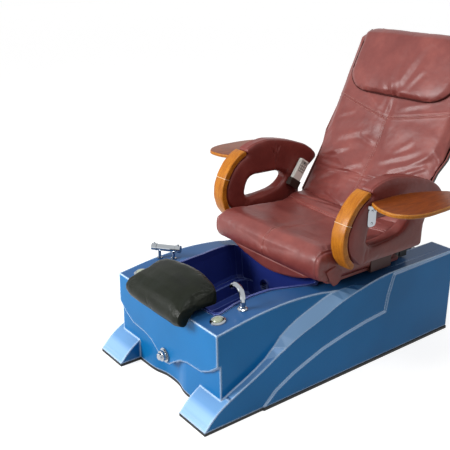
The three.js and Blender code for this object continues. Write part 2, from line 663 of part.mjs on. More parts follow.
const CHASSIS_TOP = CHASSIS_Z + CHASSIS_HEIGHT;
const PUMP_FRONT = 765;
const PUMP_Z = 142;
const PUMP_R = 62;
const REAR_CROSS = BASE_LENGTH - 225;
const CROSS_Y = [150, 790, (790 + REAR_CROSS) / 2, REAR_CROSS, BASE_LENGTH - 95];
const PIPE_R = 19;

function chassis() {
  const front = 130;
  const rear = BASE_LENGTH - 30;
  const runner = box(CHASSIS_X - TUBE / 2, CHASSIS_X + TUBE / 2, front, rear, CHASSIS_Z, CHASSIS_TOP);
  const crosses = CROSS_Y.map((y) => box(-CHASSIS_X, CHASSIS_X, y - TUBE / 2, y + TUBE / 2, CHASSIS_Z, CHASSIS_TOP));
  const props = [CROSS_Y[1], CROSS_Y[3], CROSS_Y[4]].map((y) => box(SLIDE_X - TUBE / 2, SLIDE_X + TUBE / 2,
    y - TUBE / 2, y + TUBE / 2, CHASSIS_TOP - 1, RECESS_FLOOR - SHELL_WALL - TOUCH));
  return join(runner, mirrorX(runner), crosses, props, props.map(mirrorX));
}

function levellingFoot(x, y) {
  return turned([[0, 0], [FOOT_R, 0], [FOOT_R, FOOT_PAD * 0.6], [7, FOOT_PAD], [7, CHASSIS_Z - TOUCH], [0, CHASSIS_Z - TOUCH]],
    x, y, 12);
}

function circulationPump() {
  const motorEnd = CROSS_Y[2] + 20;
  const motor = bar([0, PUMP_FRONT + 50, PUMP_Z], [0, motorEnd, PUMP_Z], PUMP_R, 14);
  const volute = bar([0, PUMP_FRONT, PUMP_Z], [0, PUMP_FRONT + 50, PUMP_Z], PUMP_R + 10, 16);
  const inlet = bar([0, PUMP_FRONT - 20, PUMP_Z], [0, PUMP_FRONT + 5, PUMP_Z], PIPE_R + 5, 14);
  const outlet = bar([0, PUMP_FRONT + 26, PUMP_Z], [0, PUMP_FRONT + 26, PUMP_Z + PUMP_R + 30], PIPE_R + 3, 14);
  const fins = rows(PUMP_FRONT + 90, motorEnd - 20, 2).map((y) => bar([0, y - 4, PUMP_Z], [0, y + 4, PUMP_Z],
    PUMP_R + 6, 14));
  const feet = box(-60, 60, CROSS_Y[1] - 10, CROSS_Y[2] + 10, CHASSIS_TOP + TOUCH, CHASSIS_TOP + 14);
  const saddle = box(-34, 34, PUMP_FRONT + 20, CROSS_Y[2] + 5, CHASSIS_TOP + 10, PUMP_Z);
  return join(motor, volute, inlet, outlet, fins, feet, saddle);
}

// straight pipe between the points, with a round elbow at each turn
function plumbing(points, radius) {
  const runs = points.slice(1).map((point, i) => bar(points[i], point, radius, 12));
  const elbows = points.slice(1, -1).map(([x, y, z]) => solid(new THREE.SphereGeometry(radius + 3, 10, 6)
    .translate(x, y, z)));
  return join(runs, elbows);
}

function suctionPipe() {
  const low = 96;
  const rise = BASIN_REAR + 46;
  return plumbing([[0, DRAIN_Y, BASIN_FLOOR - 32 - TOUCH], [0, DRAIN_Y, low], [0, rise, low], [0, rise, PUMP_Z],
    [0, PUMP_FRONT - 20 - TOUCH, PUMP_Z]], PIPE_R);
}

function jetPipe() {
  const header = BASIN_REAR + 62;
  const start = PUMP_Z + PUMP_R + 30 + TOUCH;
  const riser = bar([0, PUMP_FRONT + 26, start], [0, PUMP_FRONT + 26, 262], PIPE_R, 12);
  const run = bar([0, header, 254], [0, PUMP_FRONT + 34, 254], PIPE_R - 1, 12);
  const drop = bar([0, header, 262], [0, header, JET_Z - 8], PIPE_R - 2, 12);
  const across = bar([-JET_X - 12, header, JET_Z], [JET_X + 12, header, JET_Z], PIPE_R, 12);
  const taps = [JET_X, -JET_X].map((x) => bar([x, BASIN_REAR + 34 + TOUCH, JET_Z], [x, header + 4, JET_Z], PIPE_R - 3, 12));
  return join(riser, run, drop, across, taps);
}

function controlBox() {
  const shell = slab(outline([[-90, CHASSIS_TOP + TOUCH], [90, CHASSIS_TOP + TOUCH], [90, CHASSIS_TOP + 92], [-90, CHASSIS_TOP + 92]], 10),
    'y', CROSS_Y[3] - 20, CROSS_Y[4] + 20);
  const gland = bar([0, CROSS_Y[4] + 10, CHASSIS_TOP + 40], [0, CROSS_Y[4] + 34, CHASSIS_TOP + 40], 12, 16);
  return join(shell, gland);
}

function serviceCover() {
  const rim = 12;
  const plate = slab(outline([[-SERVICE_HALF - rim, SERVICE_LOW - rim], [SERVICE_HALF + rim, SERVICE_LOW - rim],
    [SERVICE_HALF + rim, SERVICE_HIGH + rim], [-SERVICE_HALF - rim, SERVICE_HIGH + rim]], 14),
  'y', BASE_LENGTH + TOUCH, BASE_LENGTH + 4, 1);
  const louvres = rows(SERVICE_LOW + 50, SERVICE_HIGH - 40, 5)
    .map((z) => box(-90, 90, BASE_LENGTH - 10, BASE_LENGTH + 20, z - 4, z + 4));
  return cut(plate, louvres);
}

const CHANNEL_TOP = RECESS_FLOOR + TOUCH + CHANNEL;
const RAIL_FRONT = RECESS_FRONT + 6;
const RAIL_REAR = BASE_LENGTH - 30;

function slideRail() {
  const half = CHANNEL / 2;
  const lip = 9;
  const low = RECESS_FLOOR + TOUCH;
  const section = outline([[-half, low], [half, low], [half, CHANNEL_TOP], [lip, CHANNEL_TOP], [lip, CHANNEL_TOP - CHANNEL_WALL],
    [half - CHANNEL_WALL, CHANNEL_TOP - CHANNEL_WALL], [half - CHANNEL_WALL, low + CHANNEL_WALL],
    [-half + CHANNEL_WALL, low + CHANNEL_WALL], [-half + CHANNEL_WALL, CHANNEL_TOP - CHANNEL_WALL],
    [-lip, CHANNEL_TOP - CHANNEL_WALL], [-lip, CHANNEL_TOP], [-half, CHANNEL_TOP]]);
  return slab(section, 'y', RAIL_FRONT, RAIL_REAR).translate([SLIDE_X, 0, 0]);
}

function slideActuator() {
  const bearing = box(-22, 22, RAIL_REAR - 24, RAIL_REAR, RECESS_FLOOR + TOUCH, SCREW_Z + 18);
  const motor = bar([0, RAIL_REAR - 4, SCREW_Z], [0, BASE_LENGTH - 6, SCREW_Z], 24, 20);
  const rod = bar([0, RAIL_FRONT + 10, SCREW_Z], [0, RAIL_REAR - 20, SCREW_Z], SCREW_R, 12);
  const block = box(-20, 20, RAIL_FRONT, RAIL_FRONT + 20, RECESS_FLOOR + TOUCH, SCREW_Z + 12);
  return join(bearing, motor, rod, block);
}

// ---------------------------------------------------------------- sliding carriage and seat frame

const CARRIAGE_FRONT = RAIL_FRONT + SLIDE_TRAVEL + 2;
const CARRIAGE_REAR = CARRIAGE_FRONT + CARRIAGE_LENGTH;
const BEAM_LOW = CHANNEL_TOP + 2 * RUN + 3;
const BEAM_HIGH = BEAM_LOW + 26;
const FRAME_LOW = SEAT_UNDER - 6 - TOUCH;

function slideCarriage() {
  const low = RECESS_FLOOR + TOUCH + CHANNEL_WALL + TOUCH;
  const head = box(SLIDE_X - 14, SLIDE_X + 14, CARRIAGE_FRONT, CARRIAGE_REAR, low, low + 16);
  const neck = box(SLIDE_X - 6, SLIDE_X + 6, CARRIAGE_FRONT, CARRIAGE_REAR, low + 10, BEAM_LOW + 1);
  const beam = box(SLIDE_X - 20, SLIDE_X + 20, CARRIAGE_FRONT, CARRIAGE_REAR, BEAM_LOW, BEAM_HIGH);
  const side = join(head, neck, beam);
  const across = [CARRIAGE_FRONT + 15, (CARRIAGE_FRONT + CARRIAGE_REAR) / 2, CARRIAGE_REAR - 15]
    .map((y) => box(-SLIDE_X, SLIDE_X, y - 15, y + 15, BEAM_LOW + 6, BEAM_HIGH));
  const nut = cut(box(-20, 20, CARRIAGE_FRONT + 25, CARRIAGE_FRONT + 65, SCREW_Z - 20, BEAM_HIGH - 2),
    bar([0, CARRIAGE_FRONT, SCREW_Z], [0, CARRIAGE_FRONT + 80, SCREW_Z], SCREW_R + RUN, 16));
  const risers = [CARRIAGE_FRONT + 30, CARRIAGE_REAR - 170].map((y) => box(SLIDE_X - 20, SLIDE_X + 20, y - 25, y + 25,
    BEAM_HIGH - 1, FRAME_LOW - TOUCH));
  return join(side, mirrorX(side), across, nut, risers, risers.map(mirrorX));
}


function seatFrame() {
  const high = SEAT_UNDER - TOUCH;
  const side = box(UPRIGHT_X - 14, UPRIGHT_X + UPRIGHT, 640, HINGE_Y + 22, FRAME_LOW, high);
  const upright = join(box(UPRIGHT_X, UPRIGHT_X + UPRIGHT, HINGE_Y - 22, HINGE_Y + 22, FRAME_LOW, HINGE_Z),
    bar([UPRIGHT_X, HINGE_Y, HINGE_Z], [UPRIGHT_X + UPRIGHT, HINGE_Y, HINGE_Z], EYE_R, 24));
  const eye = bar([UPRIGHT_X - 9, HINGE_Y, HINGE_Z], [UPRIGHT_X + UPRIGHT + 9, HINGE_Y, HINGE_Z], PIN_R + 2 * TOUCH, 16);
  const across = [655, CARRIAGE_FRONT + 30, CARRIAGE_REAR - 170, HINGE_Y + 7]
    .map((y) => box(-UPRIGHT_X, UPRIGHT_X, y - 15, y + 15, FRAME_LOW, high));
  const left = cut(join(side, upright), eye);
  return join(left, mirrorX(left), across);
}

function seatBoard() {
  const front = SKIRT_Y + 22;
  const rear = HINGE_Y - 45;
  return slab(outline([[-SEAT_HALF + 6, front], [SEAT_HALF - 6, front], [SEAT_HALF - 6, rear], [-SEAT_HALF + 6, rear]], 20),
    'z', SEAT_UNDER, SEAT_UNDER + BOARD);
}

// ---------------------------------------------------------------- seat upholstery

const CUSHION_LOW = SEAT_UNDER + BOARD + TOUCH;
// side view of the seat from its underside round the front roll and over the top to its rear edge
const SEAT_REAR = 1008;
const SEAT_SECTION = [[606, CUSHION_LOW], [576, CUSHION_LOW + 6], [560, 438], [SEAT_FRONT, 470], [561, 500], [576, 522],
  [602, 534], [640, SEAT_TOP], [720, 530], [800, 524], [870, 517], [925, 513], [965, 516], [992, 517], [1003, 508],
  [SEAT_REAR, 488], [SEAT_REAR, 446], [1002, CUSHION_LOW + 6], [980, CUSHION_LOW]];

function seatCushion() {
  return loft(rows(-1, 1, 20).map((across) => {
    const side = Math.abs(across);
    const edge = THREE.MathUtils.smoothstep(side, 0.86, 1);
    const dish = 14 * (1 - Math.min(side / 0.85, 1) ** 2);
    const groove = 5 * Math.exp(-((side / 0.03) ** 2));
    return SEAT_SECTION.map(([y, z]) => {
      const topness = THREE.MathUtils.smoothstep(z, 500, 525);
      const inward = (1 - Math.cos(edge * Math.PI / 2)) * 16;
      const drop = topness * (dish * (y > 640 ? 1 : 0.3) + groove) + (z > CUSHION_LOW + 10 ? inward * topness * 1.2 : 0);
      const pinch = (y < 640 && z > CUSHION_LOW + 1 ? inward * 0.5 : 0) - (y > 990 ? inward * 0.3 : 0);
      return [across * SEAT_HALF, y + pinch, z - drop];
    });
  }));
}

// the apron of the seat cover, deepest in the middle, hanging behind the front roll
function seatSkirt() {
  const half = 268;
  const thick = 4;
  const top = CUSHION_LOW - TOUCH;
  const rowsAcross = rows(-half, half, 18);
  const bottom = (x) => Math.min(SKIRT_DROP + 60 * (x / 250) ** 2, top - 4);
  return loft(rowsAcross.map((x) => {
    const low = bottom(x);
    const sag = (z) => SKIRT_Y + 10 * ((top - z) / (top - SKIRT_DROP));
    return [[x, SKIRT_Y, top], [x, SKIRT_Y + thick, top], [x, sag(low) + thick, low], [x, sag(low), low]];
  }));
}

// ---------------------------------------------------------------- arms

// a closed outline that runs clockwise, with its corners and their radii moved outward by a distance
function grown(points, distance) {
  const leftOf = (from, to) => new THREE.Vector2(from[1] - to[1], to[0] - from[0]).normalize();
  return points.map((point, i) => {
    const before = leftOf(points.at(i - 1), point);
    const after = leftOf(point, points[(i + 1) % points.length]);
    const out = before.clone().add(after).multiplyScalar(distance / (1 + before.dot(after)));
    return [point[0] + out.x, point[1] + out.y, point[2] + distance];
  });
}

// a path moved sideways by a distance, to the left of its direction
function besidePath(points, distance) {
  return points.map(([a, b], i) => {
    const before = points[Math.max(i - 1, 0)];
    const after = points[Math.min(i + 1, points.length - 1)];
    const run = new THREE.Vector2(after[0] - before[0], after[1] - before[1]).normalize();
    return [a - run.y * distance, b + run.x * distance];
  });
}

const WOOD_BACK = besidePath(WOOD_FRONT, WOOD_THICK);
const LEATHER_FRONT = besidePath(WOOD_FRONT, WOOD_THICK + TOUCH + 0.3);

function armWood() {
  return slab(outline([...WOOD_FRONT, ...WOOD_BACK.slice().reverse()], 8), 'x', ARM_INNER, ARM_OUTER, 3, 1, 1);
}

// the hole through the arm, with the padding rolling away into it from both faces
function armHole() {
  const turns = rows(0, Math.PI / 2, 3).map((a) => [ARM_ROLL * (1 - Math.cos(a)), ARM_ROLL * (1 - Math.sin(a))]);
  const inner = [[-5, ARM_ROLL], ...turns].map(([depth, growth]) => [ARM_INNER + depth, growth]);
  const outer = [[-5, ARM_ROLL], ...turns].map(([depth, growth]) => [ARM_OUTER - depth, growth]).reverse();
  return loft([...inner, ...outer].map(([x, growth]) => outline(grown(ARM_HOLE, growth)).getPoints(3)
    .map((point) => [x, point.x, point.y])));
}

function armLoop() {
  const front = LEATHER_FRONT.slice(0, -1).map((point, i) => (i === 0 ? [...point, 0] : point));
  const lowFront = [[712, ARM_BOTTOM, 10]];
  const shape = outline([...front, ...lowFront, ...ARM_REAR.slice().reverse(), ...ARM_TOP.slice().reverse()], 12);
  return cut(slab(shape, 'x', ARM_INNER, ARM_OUTER, 9, 2, 1), armHole());
}

// a bent plate bolted to the inner side of the arm and to the side of the seat frame
function armSupport() {
  const face = ARM_INNER - TOUCH;
  const thick = 5;
  const shelf = box(UPRIGHT_X + UPRIGHT + TOUCH, face, 850, 970, FRAME_LOW, SEAT_UNDER - TOUCH);
  const plate = box(face - thick, face, 850, 970, FRAME_LOW, ARM_BOTTOM + 28);
  return join(shelf, plate);
}

const TRAY_LOW = TRAY_TOP - TRAY_THICK;

function trayBracket() {
  const face = ARM_OUTER + TOUCH;
  const plate = slab(outline([[732, 626], [776, 626], [776, 700], [732, 700]], 16), 'x', face, face + 5, 1, 1, 3);
  const lugLow = TRAY_LOW - TOUCH - 12;
  const lug = slab(outline([[face, 732], [face, 762], [PIVOT_X + 8, PIVOT_Y + 14], [PIVOT_X + 14, PIVOT_Y],
    [PIVOT_X, PIVOT_Y - 14], [PIVOT_X - 16, PIVOT_Y - 6]].reverse(), 4), 'z', lugLow, lugLow + 12, 0, 1, 2);
  const web = box(face, face + 5, 736, 760, lugLow - 8, lugLow + 12);
  const pin = bar([PIVOT_X, PIVOT_Y, lugLow + 6], [PIVOT_X, PIVOT_Y, TRAY_LOW + 10], PIVOT_R, 16);
  return join(plate, lug, web, pin);
}

function tray() {
  const rim = TRAY_OUTLINE.map(([away, y, radius]) => [ARM_OUTER + away, y, radius]).reverse();
  const board = slab(outline(rim), 'z', TRAY_LOW, TRAY_TOP, 3, 1, 3);
  return cut(board, bar([PIVOT_X, PIVOT_Y, TRAY_LOW - 5], [PIVOT_X, PIVOT_Y, TRAY_LOW + 11], PIVOT_R + 2 * TOUCH, 16));
}

// ---------------------------------------------------------------- remote control and its holder

// pieces drawn upright about (0, 0) with their face to +X, then leaned back beside the arm
function besideArm(body) {
  const turn = new THREE.Matrix4().makeRotationX(THREE.MathUtils.degToRad(-REMOTE_TILT));
  turn.setPosition(REMOTE_X, REMOTE_Y, REMOTE_Z);
  return body.transform(turn.elements);
}

function remoteControl() {
  const half = REMOTE_WIDTH / 2;
  const tall = REMOTE_LENGTH / 2;
  return besideArm(slab(outline([[-half, -tall], [half, -tall], [half, tall], [-half, tall]], 9), 'x',
    -REMOTE_THICK / 2, REMOTE_THICK / 2, 3, 2, 3));
}

function remoteHolder() {
  const half = REMOTE_WIDTH / 2 + RUN;
  const wall = 2.5;
  const low = -REMOTE_LENGTH / 2 - RUN;
  const high = low + 34;
  const thick = REMOTE_THICK / 2 + RUN;
  const outer = box(-thick - wall, thick + wall, -half - wall, half + wall, low - wall, high);
  const inner = box(-thick, thick, -half, half, low, high + 20);
  const backWall = ARM_INNER + REMOTE_X - TOUCH - 0.2;
  const tab = box(-backWall, -thick - wall + 0.5, -12, 12, low, high - 4);
  return besideArm(join(cut(outer, inner), tab));
}

// ---------------------------------------------------------------- recline drive

function reclineMotor() {
  const from = 150;
  const to = UPRIGHT_X - 26;
  const low = SEAT_UNDER;
  const gearbox = bar([from + 60, HINGE_Y, HINGE_Z], [to, HINGE_Y, HINGE_Z], 24, 24);
  const motor = bar([from, HINGE_Y, HINGE_Z], [from + 62, HINGE_Y, HINGE_Z], 20, 20);
  const foot = box(from + 70, to - 10, HINGE_Y - 8, HINGE_Y + 20, low, HINGE_Z);
  return join(gearbox, motor, foot);
}

// ---------------------------------------------------------------- back, drawn upright about its hinge axis

const middleDepth = heightThrough(BACK_MIDDLE);
const sideDepth = heightThrough(BACK_SIDE);
const CUSHION_BOTTOM = BACK_BOTTOM - CUSHION_DROP;
const topRounding = (z) => THREE.MathUtils.smoothstep(z, BACK_TOP - 46, BACK_TOP);

// half width of the back at a height: it widens above the arms and its top corners are round
function backHalf(z) {
  const wider = BACK_WIDER * THREE.MathUtils.smoothstep(z, BACK_WIDENS, BACK_WIDENS + 45);
  const turn = THREE.MathUtils.clamp((z - BACK_TOP) / BACK_CORNER + 1, 0, 1);
  return BACK_HALF + wider - BACK_CORNER * (1 - Math.sqrt(1 - turn * turn));
}

// heights of the sections from a lower edge to the top of the back, closer together round its corners
function backLevels(low, count, high = BACK_TOP) {
  const corner = rows(0, Math.PI / 2, 4).map((a) => high - BACK_CORNER * (1 - Math.sin(a)));
  return [...rows(low, high - BACK_CORNER, count).slice(0, -1), ...corner];
}

// depth of the cushion's front at a part of its half width and a height
function backFront(side, z) {
  const edge = THREE.MathUtils.smoothstep(side, 0.8, 1);
  const low = 1 - THREE.MathUtils.smoothstep(z, CUSHION_BOTTOM, CUSHION_BOTTOM + 30);
  const rounding = 9 * (1 - Math.sqrt(Math.max(1 - edge * edge, 0))) + 24 * topRounding(z) ** 2 + 9 * low ** 2;
  const depth = THREE.MathUtils.lerp(middleDepth(z), sideDepth(z), side ** 2.2);
  return Math.min(depth + rounding, BACK_REAR - 5);
}

function backCushion() {
  return loft(backLevels(CUSHION_BOTTOM, 20).map((z) => {
    const half = backHalf(z);
    const front = rows(-1, 1, 20).map((across) => {
      const side = Math.abs(across);
      const seam = 6 * Math.exp(-((side / 0.04) ** 2)) * (z < PILLOW_BOTTOM ? 1 : 0);
      const yoke = 4 * Math.exp(-(((z - 463) / 14) ** 2)) * (1 - side ** 4);
      return [across * half, Math.min(backFront(side, z) + seam + yoke, BACK_REAR - 5), z];
    });
    const rear = rows(1, -1, 4).map((across) => [across * (half - 2), BACK_REAR, z]);
    return [...front, ...rear];
  }));
}

function shellRing(z, inset) {
  const up = (z - BACK_BOTTOM) / (BACK_TOP - BACK_BOTTOM);
  const belly = Math.sin(Math.PI * THREE.MathUtils.clamp((up - 0.04) / 0.94, 0, 1)) ** 0.4;
  const half = backHalf(z) - inset;
  const edge = BACK_REAR + SHELL_EDGE - inset;
  const rear = rows(1, -1, 12).map((across) => {
    const side = Math.min(Math.abs(across) / 0.86, 1);
    return [across * half, edge + SHELL_BULGE * belly * Math.cos(side * Math.PI / 2) ** 0.8
      - (Math.abs(across) > 0.99 ? 6 : 0), z];
  });
  return [[-half, BACK_REAR + TOUCH - (inset > 0 ? 20 : 0), z], [half, BACK_REAR + TOUCH - (inset > 0 ? 20 : 0), z], ...rear];
}

function backShell() {
  const outer = loft(backLevels(BACK_BOTTOM, 12).map((z) => shellRing(z, 0)));
  const inner = loft(backLevels(BACK_BOTTOM + BACK_WALL, 12, BACK_TOP - BACK_WALL).map((z) => shellRing(z, BACK_WALL)));
  const slot = box(LUG_X - 16, LUG_X + 2, BACK_REAR - 2, FRAME_DEPTH + FRAME_THICK + 2, BACK_BOTTOM - 5,
    BACK_BOTTOM + BACK_WALL + 1);
  return cut(outer, inner, slot, mirrorX(slot));
}


function backFrame() {
  const rear = FRAME_DEPTH + FRAME_THICK;
  const post = box(LUG_X - 14, LUG_X, FRAME_DEPTH, rear, 24, BACK_TOP - 60);
  const lug = join(bar([LUG_X - 6, 0, 0], [LUG_X, 0, 0], EYE_R - 3, 16),
    slab(outline([[FRAME_DEPTH, 60], [FRAME_DEPTH, 24], [-14, -12], [12, -10], [12, 8], [rear, 36], [rear, 60]]),
      'x', LUG_X - 6, LUG_X));
  const pin = bar([LUG_X - 8, 0, 0], [UPRIGHT_X + UPRIGHT + 3, 0, 0], PIN_R, 16);
  const side = join(post, lug, pin);
  const guideLow = 150;
  const guideHigh = BACK_TOP - 120;
  const across = [guideLow - 8, guideHigh - 16, BACK_TOP - 80].map((z) => box(-LUG_X, LUG_X, FRAME_DEPTH, rear, z, z + 20));
  const guide = bar([GUIDE_X, GUIDE_DEPTH, guideLow], [GUIDE_X, GUIDE_DEPTH, guideHigh], GUIDE_R, 10);
  const tabs = [guideLow, guideHigh - 12].map((z) => box(GUIDE_X - 12, GUIDE_X + 12, FRAME_DEPTH + 10, GUIDE_DEPTH + 12, z - 4, z + 8));
  const ladder = join(guide, tabs);
  return join(side, mirrorX(side), across, ladder, mirrorX(ladder));
}

// the head pillow is a flap that hangs over the top of the back, with rounded lower corners
function headPillow() {
  return loft(backLevels(PILLOW_BOTTOM, 13, BACK_TOP + 2).map((z) => {
    const up = (z - PILLOW_BOTTOM) / (BACK_TOP + 2 - PILLOW_BOTTOM);
    const low = THREE.MathUtils.clamp(1 - (z - PILLOW_BOTTOM) / PILLOW_CORNER[1], 0, 1);
    const high = THREE.MathUtils.clamp((up - 0.82) / 0.18, 0, 1);
    const corner = PILLOW_CORNER[0] * (1 - Math.sqrt(1 - (low * 0.93) ** 2));
    const half = backHalf(Math.min(z, BACK_TOP)) - PILLOW_EDGE - corner + 20 * high;
    const depth = PILLOW_THICK * (0.35 + 0.65 * Math.sqrt(Math.max(1 - low ** 3, 0))) * (1 - 0.35 * high * high);
    const against = (across) => backFront(Math.abs(across) * half / backHalf(Math.min(z, BACK_TOP)), z) - TOUCH - 2;
    const front = rows(-1, 1, 16).map((across) => {
      const side = Math.abs(across);
      const crown = Math.sqrt(Math.max(1 - side ** 4, 0));
      const gather = 6 * Math.exp(-((side / 0.07) ** 2)) * (1 - up) ** 2;
      return [across * half, against(across) - depth * (0.25 + 0.75 * crown) + gather, z];
    });
    const rear = rows(1, -1, 6).map((across) => [across * (half - 2), against(across), z]);
    return [...front, ...rear];
  }));
}

// ---------------------------------------------------------------- massage mechanism

const MASSAGE_TOP = MASSAGE_Z + MASSAGE_HEIGHT;
const MASSAGE_MID = (MASSAGE_Z + MASSAGE_TOP) / 2;
const PLATE_DEPTH = GUIDE_DEPTH + 14;
const HEAD_X = 78;
const HEAD_DEPTH = GUIDE_DEPTH;

function massageCarriage() {
  const plate = box(-122, 122, PLATE_DEPTH, PLATE_DEPTH + 4, MASSAGE_Z, MASSAGE_TOP);
  const bosses = [MASSAGE_Z + 12, MASSAGE_TOP - 12].flatMap((z) => [GUIDE_X, -GUIDE_X].map((x) => cut(
    join(bar([x, GUIDE_DEPTH, z - 10], [x, GUIDE_DEPTH, z + 10], GUIDE_R + 6, 12),
      box(x - 8, x + 8, GUIDE_DEPTH + GUIDE_R, PLATE_DEPTH + 1, z - 10, z + 10)),
    bar([x, GUIDE_DEPTH, z - 20], [x, GUIDE_DEPTH, z + 20], GUIDE_R + RUN / 2, 12))));
  const lugs = [-1, 1].map((side) => join(
    box(side * 52 - 4, side * 52 + 4, HEAD_DEPTH - 8, PLATE_DEPTH + 1, MASSAGE_MID - 10, MASSAGE_MID + 10),
    bar([side * 50, HEAD_DEPTH, MASSAGE_MID], [side * (HEAD_X + 14), HEAD_DEPTH, MASSAGE_MID], 5, 12)));
  return join(plate, bosses, lugs);
}

function massageMotor() {
  const middle = BACK_REAR + 36;
  return join(box(-34, 34, BACK_REAR + 16, PLATE_DEPTH - TOUCH, MASSAGE_Z + 24, MASSAGE_TOP - 30),
    bar([0, middle, MASSAGE_TOP - 31], [0, middle, MASSAGE_TOP + 4], 16, 20));
}

function kneadingHead(side) {
  const reach = 44;
  const wheelDepth = BACK_REAR + ROLLER_R + 6;
  const hub = bar([side * (HEAD_X - 18), HEAD_DEPTH, MASSAGE_MID], [side * (HEAD_X + 8), HEAD_DEPTH, MASSAGE_MID], 11, 16);
  const arm = slab(outline([[HEAD_DEPTH + 10, MASSAGE_MID], [wheelDepth + 8, MASSAGE_MID - reach], [wheelDepth - 8, MASSAGE_MID - reach],
    [HEAD_DEPTH - 11, MASSAGE_MID], [wheelDepth - 8, MASSAGE_MID + reach], [wheelDepth + 8, MASSAGE_MID + reach]].reverse()),
  'x', side * HEAD_X - 4, side * HEAD_X + 4);
  const wheels = [-reach, reach].map((lift) => bar([side * HEAD_X - 13, wheelDepth, MASSAGE_MID + lift],
    [side * HEAD_X + 13, wheelDepth, MASSAGE_MID + lift], ROLLER_R, 16));
  const bore = bar([side * (HEAD_X - 30), HEAD_DEPTH, MASSAGE_MID], [side * (HEAD_X + 30), HEAD_DEPTH, MASSAGE_MID], 5 + TOUCH, 12);
  return cut(join(hub, arm, wheels), bore);
}

// ---------------------------------------------------------------- assembly

place(chair, 'base_shell', baseShell(), GELCOAT);
place(chair, 'base_trim', baseTrim(), RUBBER);
place(chair, 'foot_basin', footBasin(), BASIN_BLUE);
place(chair, 'jet_left', jet(JET_X), CHROME);
place(chair, 'jet_right', jet(-JET_X), CHROME);
place(chair, 'drain_strainer', drainStrainer(), CHROME);
place(chair, 'spout_flange', spoutFlange(), CHROME);
place(chair, 'spout', spout(), CHROME);
place(chair, 'mixer_body', mixerBody(), CHROME);
place(chair, 'flow_knob', mixerKnob(1), CHROME);
place(chair, 'temperature_knob', mixerKnob(-1), CHROME);
['left', 'right'].forEach((side, i) => {
  const x = BUTTON_X * (i ? -1 : 1);
  place(chair, `button_bezel_${side}`, onDeck(x, BUTTON_Y, buttonBezel()), CHROME);
  place(chair, `air_button_${side}`, onDeck(x, BUTTON_Y, buttonCap()), CLEAR_CAP);
});
place(chair, 'drain_rosette', drainRosette(), CHROME);
place(chair, 'drain_knob', drainKnob(), CHROME);
placePair(chair, 'footrest_sleeve', footrestSleeve(), STEEL);
place(chair, 'footrest_frame', footrestFrame(), STEEL);
place(chair, 'footrest_pad', footrestPad(), BLACK_VINYL);

place(chair, 'chassis_frame', chassis(), STEEL);
[[1, FOOT_FRONT, 'front_left'], [-1, FOOT_FRONT, 'front_right'], [1, FOOT_REAR, 'rear_left'],
  [-1, FOOT_REAR, 'rear_right']]
  .forEach(([side, y, name]) => place(chair, `levelling_foot_${name}`, levellingFoot(side * CHASSIS_X, y), RUBBER));
place(chair, 'circulation_pump', circulationPump(), STEEL);
place(chair, 'suction_pipe', suctionPipe(), PVC);
place(chair, 'jet_pipe', jetPipe(), PVC);
place(chair, 'control_box', controlBox(), DARK_PLASTIC);
place(chair, 'service_cover', serviceCover(), GELCOAT);
placePair(chair, 'slide_rail', slideRail(), STEEL);
place(chair, 'slide_actuator', slideActuator(), STEEL);

const seat = new THREE.Group();
chair.add(seat);
place(seat, 'slide_carriage', slideCarriage(), STEEL);
place(seat, 'seat_frame', seatFrame(), STEEL);
place(seat, 'seat_board', seatBoard(), PLYWOOD);
place(seat, 'seat_cushion', seatCushion(), LEATHER);
place(seat, 'seat_skirt', seatSkirt(), LEATHER);
placePair(seat, 'arm_support', armSupport(), STEEL);
placePair(seat, 'arm_loop', armLoop(), LEATHER);
placePair(seat, 'arm_wood', armWood(), WOOD);
placePair(seat, 'tray_bracket', trayBracket(), CHROME);
placePair(seat, 'tray', tray(), WOOD);
place(seat, 'remote_holder', remoteHolder(), DARK_PLASTIC);
place(seat, 'remote_control', remoteControl(), OFF_WHITE);
place(seat, 'recline_motor', reclineMotor(), STEEL);

const back = new THREE.Group();
back.position.set(0, HINGE_Y, HINGE_Z);
back.rotation.x = THREE.MathUtils.degToRad(-RECLINE);
chair.add(back);
place(back, 'back_frame', backFrame(), STEEL);
place(back, 'back_shell', backShell(), DARK_PLASTIC);
place(back, 'back_cushion', backCushion(), LEATHER);
place(back, 'head_pillow', headPillow(), LEATHER);
place(back, 'massage_carriage', massageCarriage(), STEEL);
place(back, 'massage_motor', massageMotor(), DARK_PLASTIC);
place(back, 'kneading_head_left', kneadingHead(1), OFF_WHITE);
place(back, 'kneading_head_right', kneadingHead(-1), OFF_WHITE);

chair.position.y = -MIDDLE_Y;

export default chair;
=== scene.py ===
import json
import math

import bmesh
import bpy
import numpy as np
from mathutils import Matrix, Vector, noise

